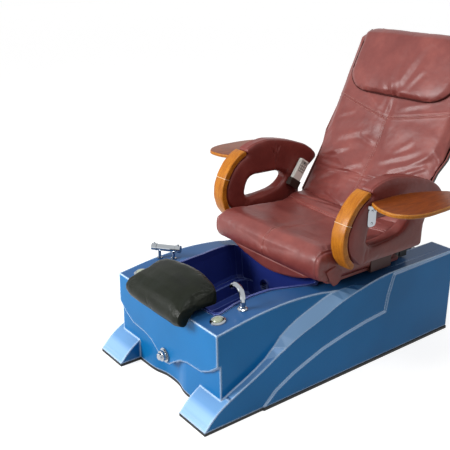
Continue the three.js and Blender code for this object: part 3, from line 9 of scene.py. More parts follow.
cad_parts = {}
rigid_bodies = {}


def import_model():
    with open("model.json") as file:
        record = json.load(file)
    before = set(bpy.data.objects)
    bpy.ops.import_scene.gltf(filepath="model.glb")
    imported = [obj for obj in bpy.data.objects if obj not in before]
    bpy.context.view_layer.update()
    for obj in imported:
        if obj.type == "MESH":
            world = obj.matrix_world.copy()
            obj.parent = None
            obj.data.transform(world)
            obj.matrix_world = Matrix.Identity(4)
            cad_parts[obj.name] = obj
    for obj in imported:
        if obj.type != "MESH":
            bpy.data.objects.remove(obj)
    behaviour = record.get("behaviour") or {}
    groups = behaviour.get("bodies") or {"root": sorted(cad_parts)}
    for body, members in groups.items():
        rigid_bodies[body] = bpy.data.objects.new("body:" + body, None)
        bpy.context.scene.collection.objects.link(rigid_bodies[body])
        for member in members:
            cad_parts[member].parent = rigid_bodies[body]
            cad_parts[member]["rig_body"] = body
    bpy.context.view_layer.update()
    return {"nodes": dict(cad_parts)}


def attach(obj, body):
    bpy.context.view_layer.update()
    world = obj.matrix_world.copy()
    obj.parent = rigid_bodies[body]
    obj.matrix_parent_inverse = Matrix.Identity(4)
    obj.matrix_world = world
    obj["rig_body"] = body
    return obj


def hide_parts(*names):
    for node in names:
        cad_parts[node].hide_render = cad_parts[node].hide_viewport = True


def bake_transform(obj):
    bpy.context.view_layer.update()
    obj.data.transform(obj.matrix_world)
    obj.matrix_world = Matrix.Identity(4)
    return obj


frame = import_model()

NODES = frame["nodes"]
MM = 0.001
TOE_Y = 0.771               # metres from the origin forward to the toe tips, where the CAD drawing starts
SIDES = ((1, "left"), (-1, "right"))


def at(x, y, z):
    """A point given in the CAD's own drawing millimetres, in the frame's metres."""
    return Vector((x * MM, y * MM - TOE_Y, z * MM))


def drawing_mm(places):
    """An array of places in the frame's metres, in drawing millimetres."""
    return (places + (0, TOE_Y, 0)) / MM


# ------------------------------------------------------------------ camera, floor and lights

# the camera that was fitted to the photograph
AZIMUTH, PITCH = math.radians(52.84), math.radians(20.45)
CAMERA_PLACE = (2156.2, -1262.1, 1608.0)
FOCAL_PIXELS, PHOTO_PIXELS, SENSOR = 743.36, 450, 36

camera_data = bpy.data.cameras.new("camera")
camera_data.sensor_width = SENSOR
camera_data.lens = FOCAL_PIXELS * SENSOR / PHOTO_PIXELS
camera_data.clip_end = 60
camera = bpy.data.objects.new("camera", camera_data)
bpy.context.scene.collection.objects.link(camera)
camera.location = at(*CAMERA_PLACE)
camera.rotation_euler = (math.pi / 2 - PITCH, 0, AZIMUTH)
bpy.context.scene.camera = camera


def linear(hex_colour):
    """A screen colour such as #1072b2 as the linear, opaque colour that shaders take."""
    parts = [int(hex_colour[i:i + 2], 16) / 255 for i in (1, 3, 5)]
    return tuple(p / 12.92 if p <= 0.04045 else ((p + 0.055) / 1.055) ** 2.4 for p in parts) + (1.0,)


def wire(material, kind, settings=None, links=None):
    """Adds a shader node, sets its sockets or properties and links other nodes' outputs to its sockets."""
    node = material.node_tree.nodes.new(kind)
    for key, value in (settings or {}).items():
        if isinstance(key, str) and hasattr(node, key):
            setattr(node, key, value)
        else:
            node.inputs[key].default_value = value
    for key, output in (links or {}).items():
        material.node_tree.links.new(output, node.inputs[key])
    return node


def ramp(material, source, stops):
    """A colour or a grey level that runs through stops of (place, value) as the source goes from 0 to 1."""
    node = wire(material, "ShaderNodeValToRGB", links={"Fac": source})
    elements = node.color_ramp.elements
    while len(elements) < len(stops):
        elements.new(0.5)
    for element, (place, colour) in zip(elements, stops):
        element.position = place
        element.color = linear(colour) if isinstance(colour, str) else (colour, colour, colour, 1)
    return node.outputs["Color"]


def start_material(name, **shader):
    """A new material with its Principled shader; constant values go straight on its sockets."""
    material = bpy.data.materials.new(name)
    material.use_nodes = True
    bsdf = material.node_tree.nodes["Principled BSDF"]
    for key, value in shader.items():
        bsdf.inputs[key.replace("_", " ")].default_value = value
    coords = wire(material, "ShaderNodeTexCoord").outputs["Object"]
    return material, bsdf, coords


def plug(material, bsdf, **outputs):
    """Links other nodes' outputs to the shader's sockets."""
    for key, output in outputs.items():
        material.node_tree.links.new(output, bsdf.inputs[key.replace("_", " ")])


def mixed(material, blend, amount, low, high):
    """Mixes two colours; each of amount, low and high is a socket or a constant."""
    node = wire(material, "ShaderNodeMix", {"data_type": "RGBA", "blend_type": blend})
    for socket, value in ((0, amount), (6, low), (7, high)):
        if isinstance(value, bpy.types.NodeSocket):
            material.node_tree.links.new(value, node.inputs[socket])
        else:
            node.inputs[socket].default_value = value
    return node.outputs[2]


def texture(material, coords, kind, scale, stretch=(1, 1, 1), **settings):
    """A 3-D texture whose pattern repeats about `scale` times a metre, squeezed along the axes."""
    mapped = wire(material, "ShaderNodeMapping", {"Scale": stretch}, {"Vector": coords}).outputs["Vector"]
    return wire(material, f"ShaderNodeTex{kind}", {"Scale": scale, **settings}, {"Vector": mapped})


def bump(material, height, distance, strength, under=None):
    """A normal that is bumped by a height, over another normal where one is given."""
    links = {"Height": height}
    if under is not None:
        links["Normal"] = under
    return wire(material, "ShaderNodeBump", {"Distance": distance, "Strength": strength}, links).outputs["Normal"]


FLOOR_GREY, FLOOR_GLOW = 0.42, 0.82         # together they look white, and the shadow still shows
SKY_STRENGTH = 0.3

bpy.ops.object.select_all(action="DESELECT")
bpy.ops.mesh.primitive_plane_add(size=40)
floor = bpy.context.object
floor.name = "floor"
floor_paint = bpy.data.materials.new("studio white floor")
floor_paint.use_nodes = True
floor_bsdf = floor_paint.node_tree.nodes["Principled BSDF"]
floor_bsdf.inputs["Base Color"].default_value = (FLOOR_GREY, FLOOR_GREY, FLOOR_GREY, 1)
floor_bsdf.inputs["Roughness"].default_value = 1.0


def seen_directly(material):
    """1 for rays from the camera or off a glossy or clear surface, 0 for the light that falls on things."""
    rays = wire(material, "ShaderNodeLightPath").outputs
    mirrored = wire(material, "ShaderNodeMath", {"operation": "MAXIMUM"},
                    {0: rays["Is Glossy Ray"], 1: rays["Is Transmission Ray"]}).outputs[0]
    return wire(material, "ShaderNodeMath", {"operation": "MAXIMUM"},
                {0: rays["Is Camera Ray"], 1: mirrored}).outputs[0]


glow = wire(floor_paint, "ShaderNodeEmission", {"Color": (1, 1, 1, 1), "Strength": FLOOR_GLOW})
lifted = wire(floor_paint, "ShaderNodeAddShader", {}, {0: floor_bsdf.outputs[0], 1: glow.outputs[0]})
mix = wire(floor_paint, "ShaderNodeMixShader", {}, {0: seen_directly(floor_paint), 1: floor_bsdf.outputs[0],
                                                    2: lifted.outputs[0]})
floor_paint.node_tree.links.new(mix.outputs[0], floor_paint.node_tree.nodes["Material Output"].inputs["Surface"])
floor.data.materials.append(floor_paint)

world = bpy.data.worlds.new("studio")
bpy.context.scene.world = world
world.use_nodes = True
sky = world.node_tree.nodes["Background"]
sky.inputs["Color"].default_value = (1, 1, 1, 1)
sky.inputs["Strength"].default_value = SKY_STRENGTH
white = wire(world, "ShaderNodeBackground", {"Color": (1, 1, 1, 1), "Strength": 1.0})
both = wire(world, "ShaderNodeMixShader", {}, {0: seen_directly(world), 1: sky.outputs[0], 2: white.outputs[0]})
world.node_tree.links.new(both.outputs[0], world.node_tree.nodes["World Output"].inputs["Surface"])
bpy.context.scene.view_settings.view_transform = "Standard"


def softbox(name, place, aim, size, power, size_y=None):
    """A studio light of metres by metres at a place, turned to face another; square unless size_y is given."""
    data = bpy.data.lights.new(name, "AREA")
    data.shape = "RECTANGLE"
    data.size, data.size_y = size, size_y or size
    data.energy = power
    lamp = bpy.data.objects.new(name, data)
    bpy.context.scene.collection.objects.link(lamp)
    lamp.location = place
    lamp.rotation_euler = (Vector(aim) - Vector(place)).to_track_quat("-Z", "Y").to_euler()


softbox("key_light", (-1.45, -3.8, 2.1), (0, 0, 0.55), 1.8, 200)
softbox("top_light", (0.55, -0.9, 3.5), (0.1, 0, 0.4), 0.9, 30)
softbox("ridge_strip", (2.44, -0.3, 3.0), (0.35, -0.4, 0.3), 1.2, 8, 0.2)

# ------------------------------------------------------------------ materials


ARRIS_SAMPLES = 6


def arris(material, radius, most):
    """A mask of the strips along a part's edges, where the materials paint a highlight, the normal that rounds those
    edges, and the plain normal.
    """
    softened = wire(material, "ShaderNodeBevel", {"Radius": radius})
    softened.samples = ARRIS_SAMPLES
    flat = wire(material, "ShaderNodeNewGeometry").outputs["Normal"]
    turn = wire(material, "ShaderNodeVectorMath", {"operation": "DOT_PRODUCT"}, {0: softened.outputs[0], 1: flat})
    reach = {"From Min": 0.99, "From Max": 0.92, "To Min": 0.0, "To Max": most}
    mask = wire(material, "ShaderNodeMapRange", reach, {"Value": turn.outputs["Value"]}).outputs[0]
    return mask, softened.outputs[0], flat


def gelcoat(name, colour, deep, pale, painted_top_reflection, line, metallic=0.08, coat=0.2, edge=0.011, painted_highlight_amount=0.5):
    """Moulded gelcoat with flakes and softened arrises; a painted highlight on sloping faces and along the edges, and
    a painted reflection on top faces.
    """
    material, bsdf, coords = start_material(name, Metallic=metallic, Roughness=0.42, Coat_Weight=coat,
                                            Coat_Roughness=0.2, Specular_IOR_Level=0.06)
    flakes = texture(material, coords, "Voronoi", 1400).outputs["Color"]
    cloud = texture(material, coords, "Noise", 3, Detail=2).outputs["Fac"]
    shade = mixed(material, "SOFT_LIGHT", 0.12, ramp(material, cloud, [(0.3, deep), (0.7, colour)]), flakes)
    # the line colour over these edge strips is a painted highlight
    edges, softened, flat = arris(material, edge, 1.0)
    upward = wire(material, "ShaderNodeSeparateXYZ", {}, {"Vector": flat}).outputs["Z"]
    # painted highlight: the pale colour on sloping faces, strongest on the ledges
    painted_slope_highlight = ramp(material, upward, [(0.3, 0.0), (0.58, painted_highlight_amount * 1.8), (0.74, painted_highlight_amount * 1.8), (0.8, painted_highlight_amount), (0.9, painted_highlight_amount),
                                   (0.98, 0.0)])
    shade = mixed(material, "MIX", painted_slope_highlight, shade, linear(pale))
    # painted reflection: the top faces turn a greyer blue
    shade = mixed(material, "MIX", ramp(material, upward, [(0.93, 0.0), (0.99, painted_highlight_amount * 1.5)]), shade, linear(painted_top_reflection))
    ripple = texture(material, coords, "Noise", 7, Detail=1).outputs["Fac"]
    # painted highlight: the line colour along the edges
    plug(material, bsdf, Base_Color=mixed(material, "MIX", edges, shade, linear(line)),
         Normal=bump(material, ripple, 0.0006, 0.3, softened))
    return material


def between(material, source, low, high):
    """A value from low to high as the source goes from 0 to 1."""
    return wire(material, "ShaderNodeMapRange", {"To Min": low, "To Max": high}, {"Value": source}).outputs[0]


def leather(name, colour, dark, light, crease=0.0012, gloss=(0.34, 0.48), shine=0.34):
    """Upholstery leather: pebble grain of about 1.5 mm, soft creases and a slightly worn, uneven gloss."""
    material, bsdf, coords = start_material(name, Specular_IOR_Level=shine)
    patches = texture(material, coords, "Noise", 9, Detail=4, Roughness=0.6).outputs["Fac"]
    grain = texture(material, coords, "Voronoi", 650, feature="F1").outputs["Distance"]
    wrinkles = texture(material, coords, "Noise", 26, Detail=5, Roughness=0.55, Distortion=0.6).outputs["Fac"]
    sheen = between(material, patches, *gloss)
    creases = bump(material, wrinkles, crease, 0.5)
    plug(material, bsdf, Base_Color=ramp(material, patches, [(0.3, dark), (0.52, colour), (0.72, light)]),
         Roughness=sheen, Normal=bump(material, grain, 0.0004, 0.3, creases))
    return material


WOOD_FIGURE = 14            # repeats a metre


def lacquered_wood(name, light, mid, dark, stretch, gloss):
    """Steamed wood under gloss lacquer: long grain lines with darker pores, and a painted highlight along the edges.
    """
    material, bsdf, coords = start_material(name, Roughness=0.4, Specular_IOR_Level=0.15,
                                            Coat_Weight=gloss, Coat_Roughness=0.16)
    figure = texture(material, coords, "Noise", WOOD_FIGURE, stretch, Detail=6, Roughness=0.62,
                     Distortion=0.5).outputs["Fac"]
    pores = texture(material, coords, "Noise", WOOD_FIGURE * 14, stretch, Detail=3).outputs["Fac"]
    colour = ramp(material, figure, [(0.3, dark), (0.5, mid), (0.7, light)])
    streak = ramp(material, pores, [(0.35, "#a06a30"), (0.5, "#ffffff")])
    edges, softened, _ = arris(material, 0.0035, 0.55)
    # the pale #ecc48a over the edge strips is a painted highlight
    figure = mixed(material, "MIX", edges, mixed(material, "MULTIPLY", 0.5, colour, streak), linear("#ecc48a"))
    plug(material, bsdf, Base_Color=figure, Normal=bump(material, pores, 0.0003, 0.2, softened))
    return material


def metal(name, colour, roughness, brushed=0.0):
    """Plated or bare metal with faint smears in its gloss."""
    material, bsdf, coords = start_material(name, Base_Color=linear(colour), Metallic=1.0)
    smear = texture(material, coords, "Noise", 40, (1, 1, 1 + brushed), Detail=3).outputs["Fac"]
    plug(material, bsdf, Roughness=between(material, smear, roughness * 0.7, roughness * 1.4))
    return material


def plastic(name, colour, shade, roughness):
    """Moulded plastic or rubber: fine spark texture and slight colour variation."""
    material, bsdf, coords = start_material(name)
    patches = texture(material, coords, "Noise", 14, Detail=3).outputs["Fac"]
    specks = texture(material, coords, "Noise", 900, Detail=1).outputs["Fac"]
    plug(material, bsdf, Base_Color=ramp(material, patches, [(0.35, shade), (0.65, colour)]),
         Roughness=between(material, patches, roughness * 0.85, roughness * 1.15),
         Normal=bump(material, specks, 0.0002, 0.3))
    return material


# the third colour is a painted highlight on sloping faces, the fourth a painted reflection on top faces, the fifth a
# painted highlight along the edges
BLUE = gelcoat("metallic blue gelcoat", "#1072b2", "#0b66a0", "#8cb2da", "#2c4b7a", "#c8e0fa")
BASIN = gelcoat("dark blue basin acrylic", "#26347e", "#1e2a6b", "#4a68b8", "#26347e", "#7d92d8", metallic=0.05,
                coat=0.6, edge=0.005, painted_highlight_amount=0.12)
LEATHER = leather("burgundy leather", "#7a3b36", "#6e322e", "#88463f", gloss=(0.32, 0.45), shine=0.4)
ARM_LEATHER = leather("deep burgundy arm leather", "#74302a", "#682823", "#7f3932")
PIPING = leather("dark piping leather", "#3d1513", "#351210", "#481b18", 0.0003, (0.5, 0.6), 0.1)
WOOD = lacquered_wood("honey lacquered wood", "#c47d22", "#b46e1a", "#9a5612", (6, 1.2, 1.2), gloss=0.14)
TRAY_WOOD = lacquered_wood("honey lacquered tray wood", "#8d450b", "#7b3909", "#652d06", (6, 1, 6), gloss=0.1)
# the real joint of the bent wood, painted pale as a painted highlight
JOINT_HIGHLIGHT_PAINT = plastic("joint line with painted highlight", "#e8d8b8", "#dccba8", 0.4)
CHROME = metal("polished chrome", "#a9aeb3", 0.07)
STEEL = metal("powder grey steel", "#7c8084", 0.4, 4)
BLACK_PAINT = plastic("black powder coat", "#1b1d1f", "#131516", 0.5)
# painted shade: the arm support plates are burgundy, darkened to the shade under the arms
UNDER_ARM_SHADE_PAINT = plastic("burgundy plate darkened as painted shade under the arms", "#3a1815", "#321412", 0.6)
RUBBER = plastic("black trim rubber", "#16191b", "#0c0e0f", 0.7)
DARK = plastic("dark brown shell plastic", "#2c211a", "#211711", 0.45)
VINYL = leather("black glossy vinyl", "#14180f", "#0f120e", "#1b1f1a", 0.0004, (0.3, 0.4), 0.12)
WHITE = plastic("off-white plastic", "#f4f7f0", "#eaede4", 0.4)
KEYS = plastic("grey key plastic", "#aeb5ae", "#a0a7a0", 0.45)
PVC = plastic("grey pipe plastic", "#c4c7ca", "#b4b7ba", 0.45)
CLEAR = plastic("clear greenish cap plastic", "#a3ab94", "#8e9680", 0.15)
THREAD = plastic("pale rose thread", "#c4958a", "#b5857b", 0.6)

# ------------------------------------------------------------------ pieces


FLAT_ANGLE = 0.05           # degrees: faces closer than this to one plane are merged
SHARP_ANGLE = 28            # degrees: edges that turn more are rounded
WELD = 0.00005


def paint(obj, material):
    obj.data.materials.clear()
    obj.data.materials.append(material)


def pick(obj):
    """Makes one piece the selected and active one."""
    bpy.ops.object.select_all(action="DESELECT")
    obj.select_set(True)
    bpy.context.view_layer.objects.active = obj


def smooth(obj, angle):
    """Shades a piece smooth across edges that turn less than an angle in degrees."""
    pick(obj)
    bpy.ops.object.shade_smooth_by_angle(angle=math.radians(angle))


def modified(obj, kind, **settings):
    """Adds one modifier and applies it."""
    modifier = obj.modifiers.new(kind.lower(), kind)
    for key, value in settings.items():
        setattr(modifier, key, value)
    pick(obj)
    bpy.ops.object.modifier_apply(modifier=modifier.name)


def new_piece(name, mesh):
    """A piece from a bmesh or a finished mesh."""
    if isinstance(mesh, bmesh.types.BMesh):
        bmesh.ops.recalc_face_normals(mesh, faces=mesh.faces)
        data = bpy.data.meshes.new(name)
        mesh.to_mesh(data)
        mesh.free()
        mesh = data
    obj = bpy.data.objects.new(name, mesh)
    bpy.context.scene.collection.objects.link(obj)
    return obj


def fitted(obj, material, body):
    """Gives a small piece its finish and lets it ride with a body."""
    paint(obj, material)
    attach(obj, body)
    return obj


def welded_copy(node, name, merge_flats=False):
    """The CAD node's mesh as a new piece, with its shared corners joined and, if asked, its flat faces merged."""
    mesh = bmesh.new()
    mesh.from_mesh(NODES[node].data)
    bmesh.ops.remove_doubles(mesh, verts=mesh.verts, dist=WELD)
    if merge_flats:
        bmesh.ops.dissolve_limit(mesh, angle_limit=math.radians(FLAT_ANGLE), verts=mesh.verts, edges=mesh.edges)
    return new_piece(name, mesh)


def rounded(node, name, material, width, segments=3):
    """The node's solid with its edges rounded, as bent or machined."""
    obj = welded_copy(node, name, merge_flats=True)
    paint(obj, material)
    modified(obj, "BEVEL", width=width, segments=segments, limit_method="ANGLE",
             angle_limit=math.radians(SHARP_ANGLE), use_clamp_overlap=True, miter_outer="MITER_ARC")
    smooth(obj, 40)
    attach(obj, NODES[node]["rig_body"])
    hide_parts(node)
    return obj


def vertices(obj):
    """Its vertices in drawing millimetres, and their normals."""
    count = len(obj.data.vertices)
    places, normals = np.empty(count * 3), np.empty(count * 3)
    obj.data.vertices.foreach_get("co", places)
    obj.data.vertices.foreach_get("normal", normals)
    return drawing_mm(places.reshape(-1, 3)), normals.reshape(-1, 3)


def put_back(obj, places):
    """Moves its vertices to places in drawing millimetres."""
    obj.data.vertices.foreach_set("co", (places * MM - (0, TOE_Y, 0)).ravel())
    obj.data.update()


SWELL_FRAMES = 20


def inflate(obj, pressure, cap, held=None):
    """Swells it as cloth under pressure. No point moves further than cap (mm), and held picks the glued ones."""
    before, _ = vertices(obj)
    cloth = obj.modifiers.new("stuffing", "CLOTH")
    cloth.settings.use_pressure = True
    cloth.settings.uniform_pressure_force = pressure
    cloth.settings.effector_weights.gravity = 0
    cloth.settings.quality = 4
    if held is not None:
        group = obj.vertex_groups.new(name="held")
        group.add(np.nonzero(held(before))[0].tolist(), 1.0, "REPLACE")
        cloth.settings.vertex_group_mass = "held"
    for step in range(1, SWELL_FRAMES + 1):
        bpy.context.scene.frame_set(step)
    swollen = obj.evaluated_get(bpy.context.evaluated_depsgraph_get())
    after = np.empty(len(obj.data.vertices) * 3)
    swollen.data.vertices.foreach_get("co", after)
    after = drawing_mm(after.reshape(-1, 3))
    obj.modifiers.clear()
    obj.vertex_groups.clear()
    bpy.context.scene.frame_set(1)
    move = after - before
    length = np.linalg.norm(move, axis=1, keepdims=True) + 1e-9
    put_back(obj, before + move * np.minimum(1, cap / length))


def stuffed(obj, material, slot, fill, voxel, pressure, cap, relief, shrink=2.0, held=None, soften=6,
            subdivide=True):
    """Upholsters a closed form: remeshed, shrunk by mm, swollen by a pressure simulation, creased and seamed."""
    modified(obj, "REMESH", mode="VOXEL", voxel_size=voxel)
    modified(obj, "SMOOTH", factor=0.5, iterations=soften)
    places, normals = vertices(obj)
    put_back(obj, places - normals * shrink)
    inflate(obj, pressure, cap, held)
    if subdivide:
        modified(obj, "SUBSURF", levels=1, render_levels=1)
    places, normals = vertices(obj)
    put_back(obj, places + normals * relief(places, normals)[:, None])
    obj.data.shade_smooth()
    paint(obj, material)
    return obj


def cushion(node, name, material, slot, fill, **settings):
    """A stuffed piece that takes the place of a CAD solid."""
    obj = stuffed(welded_copy(node, name), material, slot, fill, **settings)
    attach(obj, NODES[node]["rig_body"])
    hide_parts(node)
    return obj


def groove(distance, width, depth):
    """Height of a seam: a narrow valley with a soft swelling on both sides."""
    return depth * (0.45 * np.exp(-(distance / (width * 4)) ** 2) - 1.45 * np.exp(-(distance / width) ** 2))


def crease(u, v, start, end, width, height):
    """A fold along a line in the (u, v) plane that fades out at both ends, with a hollow below its crest."""
    run = np.array(end, float) - start
    length = np.hypot(*run)
    run = run / length
    along = (u - start[0]) * run[0] + (v - start[1]) * run[1]
    across = (v - start[1]) * run[0] - (u - start[0]) * run[1]
    fade = np.clip(np.sin(np.pi * np.clip(along / length, 0, 1)), 0, 1) ** 0.6
    return fade * height * (np.exp(-(across / width) ** 2) - 0.8 * np.exp(-((across + 1.6 * width) / width) ** 2))


def wander(places, size, seed=0.0):
    """Smooth noise between -1 and 1 that changes over about `size` millimetres."""
    return np.array([noise.noise(Vector((x / size + seed, y / size, z / size))) for x, y, z in places])


# drawing millimetres, as in the CAD
LEAN = math.radians(32)
HINGE = (1085.0, 470.0)
BACK_HALF, BACK_TOP, BACK_CORNER = 328.0, 868.0, 62.0
BACK_WIDENS, WIDENING, BACK_WIDER = 285, 45, 20

# seams of the leather
YOKE_LOW, YOKE_RISE, YOKE_HALF = 465, 66, 300
BACK_SEAM_TOP = 468
SEAT_SEAM_X, SEAT_BORDER_X = 4, 309
SKIRT_SEAM_Z = 398
ARM_MIDDLE, ARM_SEAM_Y = 369, 922
FLAP_SEAM_Y, FLAP_BOW, FLAP_SPAN = 966, 26, 300
THREAD_GAP = 7              # from a seam to its row of thread


def back_frame_of(places):
    """(x, depth behind the hinge, height above the hinge) along the leaned back."""
    y, z = places[:, 1] - HINGE[0], places[:, 2] - HINGE[1]
    return places[:, 0], y * math.cos(LEAN) - z * math.sin(LEAN), y * math.sin(LEAN) + z * math.cos(LEAN)


def leaned(x, depth, up):
    """The place in metres of a point given along the leaned back."""
    return at(x, HINGE[0] + depth * math.cos(LEAN) + up * math.sin(LEAN),
              HINGE[1] - depth * math.sin(LEAN) + up * math.cos(LEAN))


def back_half(up):
    """Half width of the back at a height; it widens above the arms and its top corners are round."""
    t = min(max((up - BACK_WIDENS) / WIDENING, 0), 1)
    turn = min(max((up - BACK_TOP) / BACK_CORNER + 1, 0), 1)
    return BACK_HALF + BACK_WIDER * t * t * (3 - 2 * t) - BACK_CORNER * (1 - math.sqrt(1 - turn * turn))


def yoke_height(side):
    """Height of the yoke seam on the back at a distance from its middle."""
    return YOKE_LOW + YOKE_RISE * (side / YOKE_HALF) ** 1.25


def flap_seam(x):
    """Where the flap is sewn to the seat: a seam that bows forward in the middle."""
    return FLAP_SEAM_Y - FLAP_BOW * (1 - (x / FLAP_SPAN) ** 2)


# folds of the back leather as (x, height) from and to, width and height in millimetres
BACK_CREASES = [
    ((-320, 52), (-120, 82), 14, 4.7), ((-170, 78), (-30, 40), 12, 3.6), ((-276, 104), (-90, 120), 14, 3.8),
    ((-290, 100), (-130, 214), 15, 4.0), ((-180, 168), (-30, 248), 15, 3.4), ((-284, 236), (-140, 300), 14, 3.6),
    ((-240, 330), (-60, 400), 16, 2.9), ((-110, 372), (-4, 344), 12, 2.5), ((-306, 160), (-200, 196), 11, 2.7),
    ((110, 240), (200, 286), 14, 3.6), ((180, 270), (300, 356), 14, 3.8), ((50, 268), (240, 360), 15, 3.1),
    ((100, 322), (190, 396), 14, 2.5), ((196, 240), (290, 304), 11, 2.9), ((60, 120), (220, 200), 15, 2.5),
    ((120, 60), (300, 110), 14, 2.9), ((-260, 10), (-60, -6), 11, 2.7), ((40, 10), (260, 4), 11, 2.5),
    ((-150, 560), (-60, 500), 11, 2.0), ((60, 520), (200, 560), 12, 1.8), ((-290, 430), (-180, 470), 12, 2.0),
]


def front_of_back(normals):
    """1 where the surface faces straight out of the back, 0 where it faces sideways or to the rear."""
    return np.clip(-(normals[:, 1] * math.cos(LEAN) - normals[:, 2] * math.sin(LEAN)), 0, 1)


def back_relief(places, normals):
    x, _, up = back_frame_of(places)
    yoke = up - yoke_height(np.minimum(np.abs(x), YOKE_HALF))
    height = groove(yoke, 3.6, 3.0) + groove(yoke - 9, 2.2, 1.0)
    height += groove(x, 3.5, 3.0) * (up < BACK_SEAM_TOP)
    height += 1.6 * np.clip(x / 10, -1, 1) * np.exp(-(x / 60) ** 2) * (up < BACK_SEAM_TOP)
    height += sum(crease(x, up, *fold) for fold in BACK_CREASES)
    gather = np.exp(-((up - 512) / 38) ** 2) * np.exp(-((x + 14) / 34) ** 2)
    height += 3.0 * gather * np.cos((x + 14) / 7.5)
    height += 2.6 * wander(places, 150, 2.0) + 1.6 * wander(places, 70) + 0.4 * wander(places, 20, 5.0)
    return height * front_of_back(normals) ** 0.5


def pillow_relief(places, normals):
    x, _, up = back_frame_of(places)
    away = np.hypot(x, up - 548)
    turn = np.arctan2(x, up - 540)
    height = 5.5 * np.exp(-((away - 34) / 34) ** 2) * np.cos(turn * 6 + 0.4)
    height += 3.0 * np.exp(-((away - 92) / 60) ** 2) * np.cos(turn * 3 + 0.8)
    height += crease(x, up, (16, 590), (92, 810), 22, 4.0) + crease(x, up, (-14, 590), (-30, 780), 20, 2.6)
    height += crease(x, up, (60, 600), (128, 690), 16, 2.4)
    height += 2.0 * wander(places, 110, 3.0) + 0.3 * wander(places, 20, 8.0)
    return height * front_of_back(normals) ** 0.5


def seat_relief(places, normals):
    x, y, z = places.T
    top = np.clip(normals[:, 2], 0, 1)
    front = np.clip(-normals[:, 1], 0, 1)
    face = np.clip(np.abs(normals[:, 0]) - 0.3, 0, 1)
    height = groove(x - SEAT_SEAM_X, 3.4, 3.0) * np.clip((655 - y) / 30, 0, 1) * np.maximum(top, front)
    border = np.abs(np.abs(x) - SEAT_BORDER_X)
    height += groove(border, 3.4, 2.2) * np.maximum(top, front) ** 0.5 * (y < 940)
    height += groove(z - 414, 3.2, 2.6) * (y < 606)
    fan = np.arctan2(z - 452, y - 640)
    height += 1.1 * face * np.cos(fan * 18) * np.clip((640 - y) / 50, 0, 1) * np.clip((470 - z) / 40, 0, 1)
    height += 1.4 * wander(places, 110, 1.0) * top + 0.5 * wander(places, 26, 2.0)
    return height


def pad_relief(places, normals):
    x, y, z = places.T
    return 0.9 * wander(places, 60, 4.0) + groove(np.abs(np.abs(x) - 178), 3, 1.2) * np.clip(normals[:, 2], 0, 1)


def arm_relief(places, normals):
    x, y, z = places.T
    side = np.abs(x) - ARM_MIDDLE
    outward = np.clip(np.hypot(normals[:, 1], normals[:, 2]), 0, 1)
    height = groove(np.abs(np.abs(side) - 25), 2.6, 1.8) * outward
    inner = np.clip(-normals[:, 0] * np.sign(x), 0, 1)
    seam = groove(y - ARM_SEAM_Y - 5 * np.sin(z / 16), 2.4, 2.2) * (z > 640) * (z < 772)
    beside = y - ARM_SEAM_Y
    pucker = 3.6 * np.exp(-(beside / 20) ** 2 - ((z - 738) / 22) ** 2) * np.cos(beside / 4.2)
    pucker += crease(y, z, (900, 764), (918, 722), 5, 3.4) + crease(y, z, (946, 758), (926, 716), 5, 3.0)
    height += inner * (seam + pucker)
    return height + 0.8 * wander(places, 60, 6.0) + 0.3 * wander(places, 16, 7.0)


def skirt_relief(places, normals):
    x, y, z = places.T
    folds = 1.8 * np.cos(x / 46 + 0.6) * np.clip((404 - z) / 40, 0, 1) * -np.sign(normals[:, 1]) * (z < 404)
    return folds + groove(z - SKIRT_SEAM_Z, 2.4, 0.8) * np.clip(-normals[:, 1], 0, 1)


BACK = cushion("back_cushion", "back_pad", LEATHER, "burgundy_leather", 0.6, voxel=0.007, pressure=3, cap=9,
               held=lambda p: back_frame_of(p)[1] > -34, relief=back_relief)
PILLOW = cushion("head_pillow", "head_pillow_pad", LEATHER, "burgundy_leather", 0.7, voxel=0.005, pressure=4, cap=8,
                 shrink=3, relief=pillow_relief)
SEAT = cushion("seat_cushion", "seat_pad", LEATHER, "burgundy_leather", 0.7, voxel=0.006, pressure=3, cap=7,
               held=lambda p: p[:, 2] < 412, relief=seat_relief)
cushion("footrest_pad", "footrest_cushion", VINYL, "black_vinyl", 0.8, voxel=0.004, pressure=3, cap=5,
        held=lambda p: (p[:, 2] < 386) & (p[:, 1] > 90), relief=pad_relief)
cushion("seat_skirt", "seat_skirt_leather", LEATHER, "burgundy_leather", 0.3, voxel=0.0022, shrink=0.2, pressure=2,
        cap=3, soften=2, held=lambda p: p[:, 2] > SKIRT_SEAM_Z, relief=skirt_relief, subdivide=False)
for _, side in SIDES:
    cushion(f"arm_loop_{side}", f"arm_leather_{side}", ARM_LEATHER, "burgundy_leather", 0.8, voxel=0.005, pressure=3,
            cap=3, shrink=1.5, relief=arm_relief, soften=4)
    rounded(f"arm_wood_{side}", f"arm_wood_bent_{side}", WOOD, 0.003)
    board = rounded(f"tray_{side}", f"tray_board_{side}", TRAY_WOOD, 0.003)
    board.data.materials.append(WOOD)
    for face in board.data.polygons:        # the tray's upright edge has the lighter colour of the arms
        face.material_index = int(abs(face.normal.z) < 0.9)
    rounded(f"tray_bracket_{side}", f"tray_bracket_cast_{side}", CHROME, 0.0014)

for node, name, material, slot in (("base_shell", "base_moulding", BLUE, "blue_gelcoat"),
                                   ("foot_basin", "basin_liner", BASIN, "basin_acrylic")):
    moulding = fitted(welded_copy(node, name, merge_flats=True), material, "base")
    smooth(moulding, 15)
    for face in moulding.data.polygons:     # only what curves along the chair is smooth: the sides stay crisp
        face.use_smooth = abs(face.normal.x) < 0.05
    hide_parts(node)
rounded("drain_knob", "drain_knob_grip", CHROME, 0.001, 2)

# ------------------------------------------------------------------ the leather flap between seat and back


def met(obj, start, direction):
    """Where a ray from a drawing point first meets a piece, as a drawing point."""
    hit, place, _, _ = obj.ray_cast(at(*start), Vector(direction))
    return ((place + Vector((0, TOE_Y, 0))) / MM) if hit else None


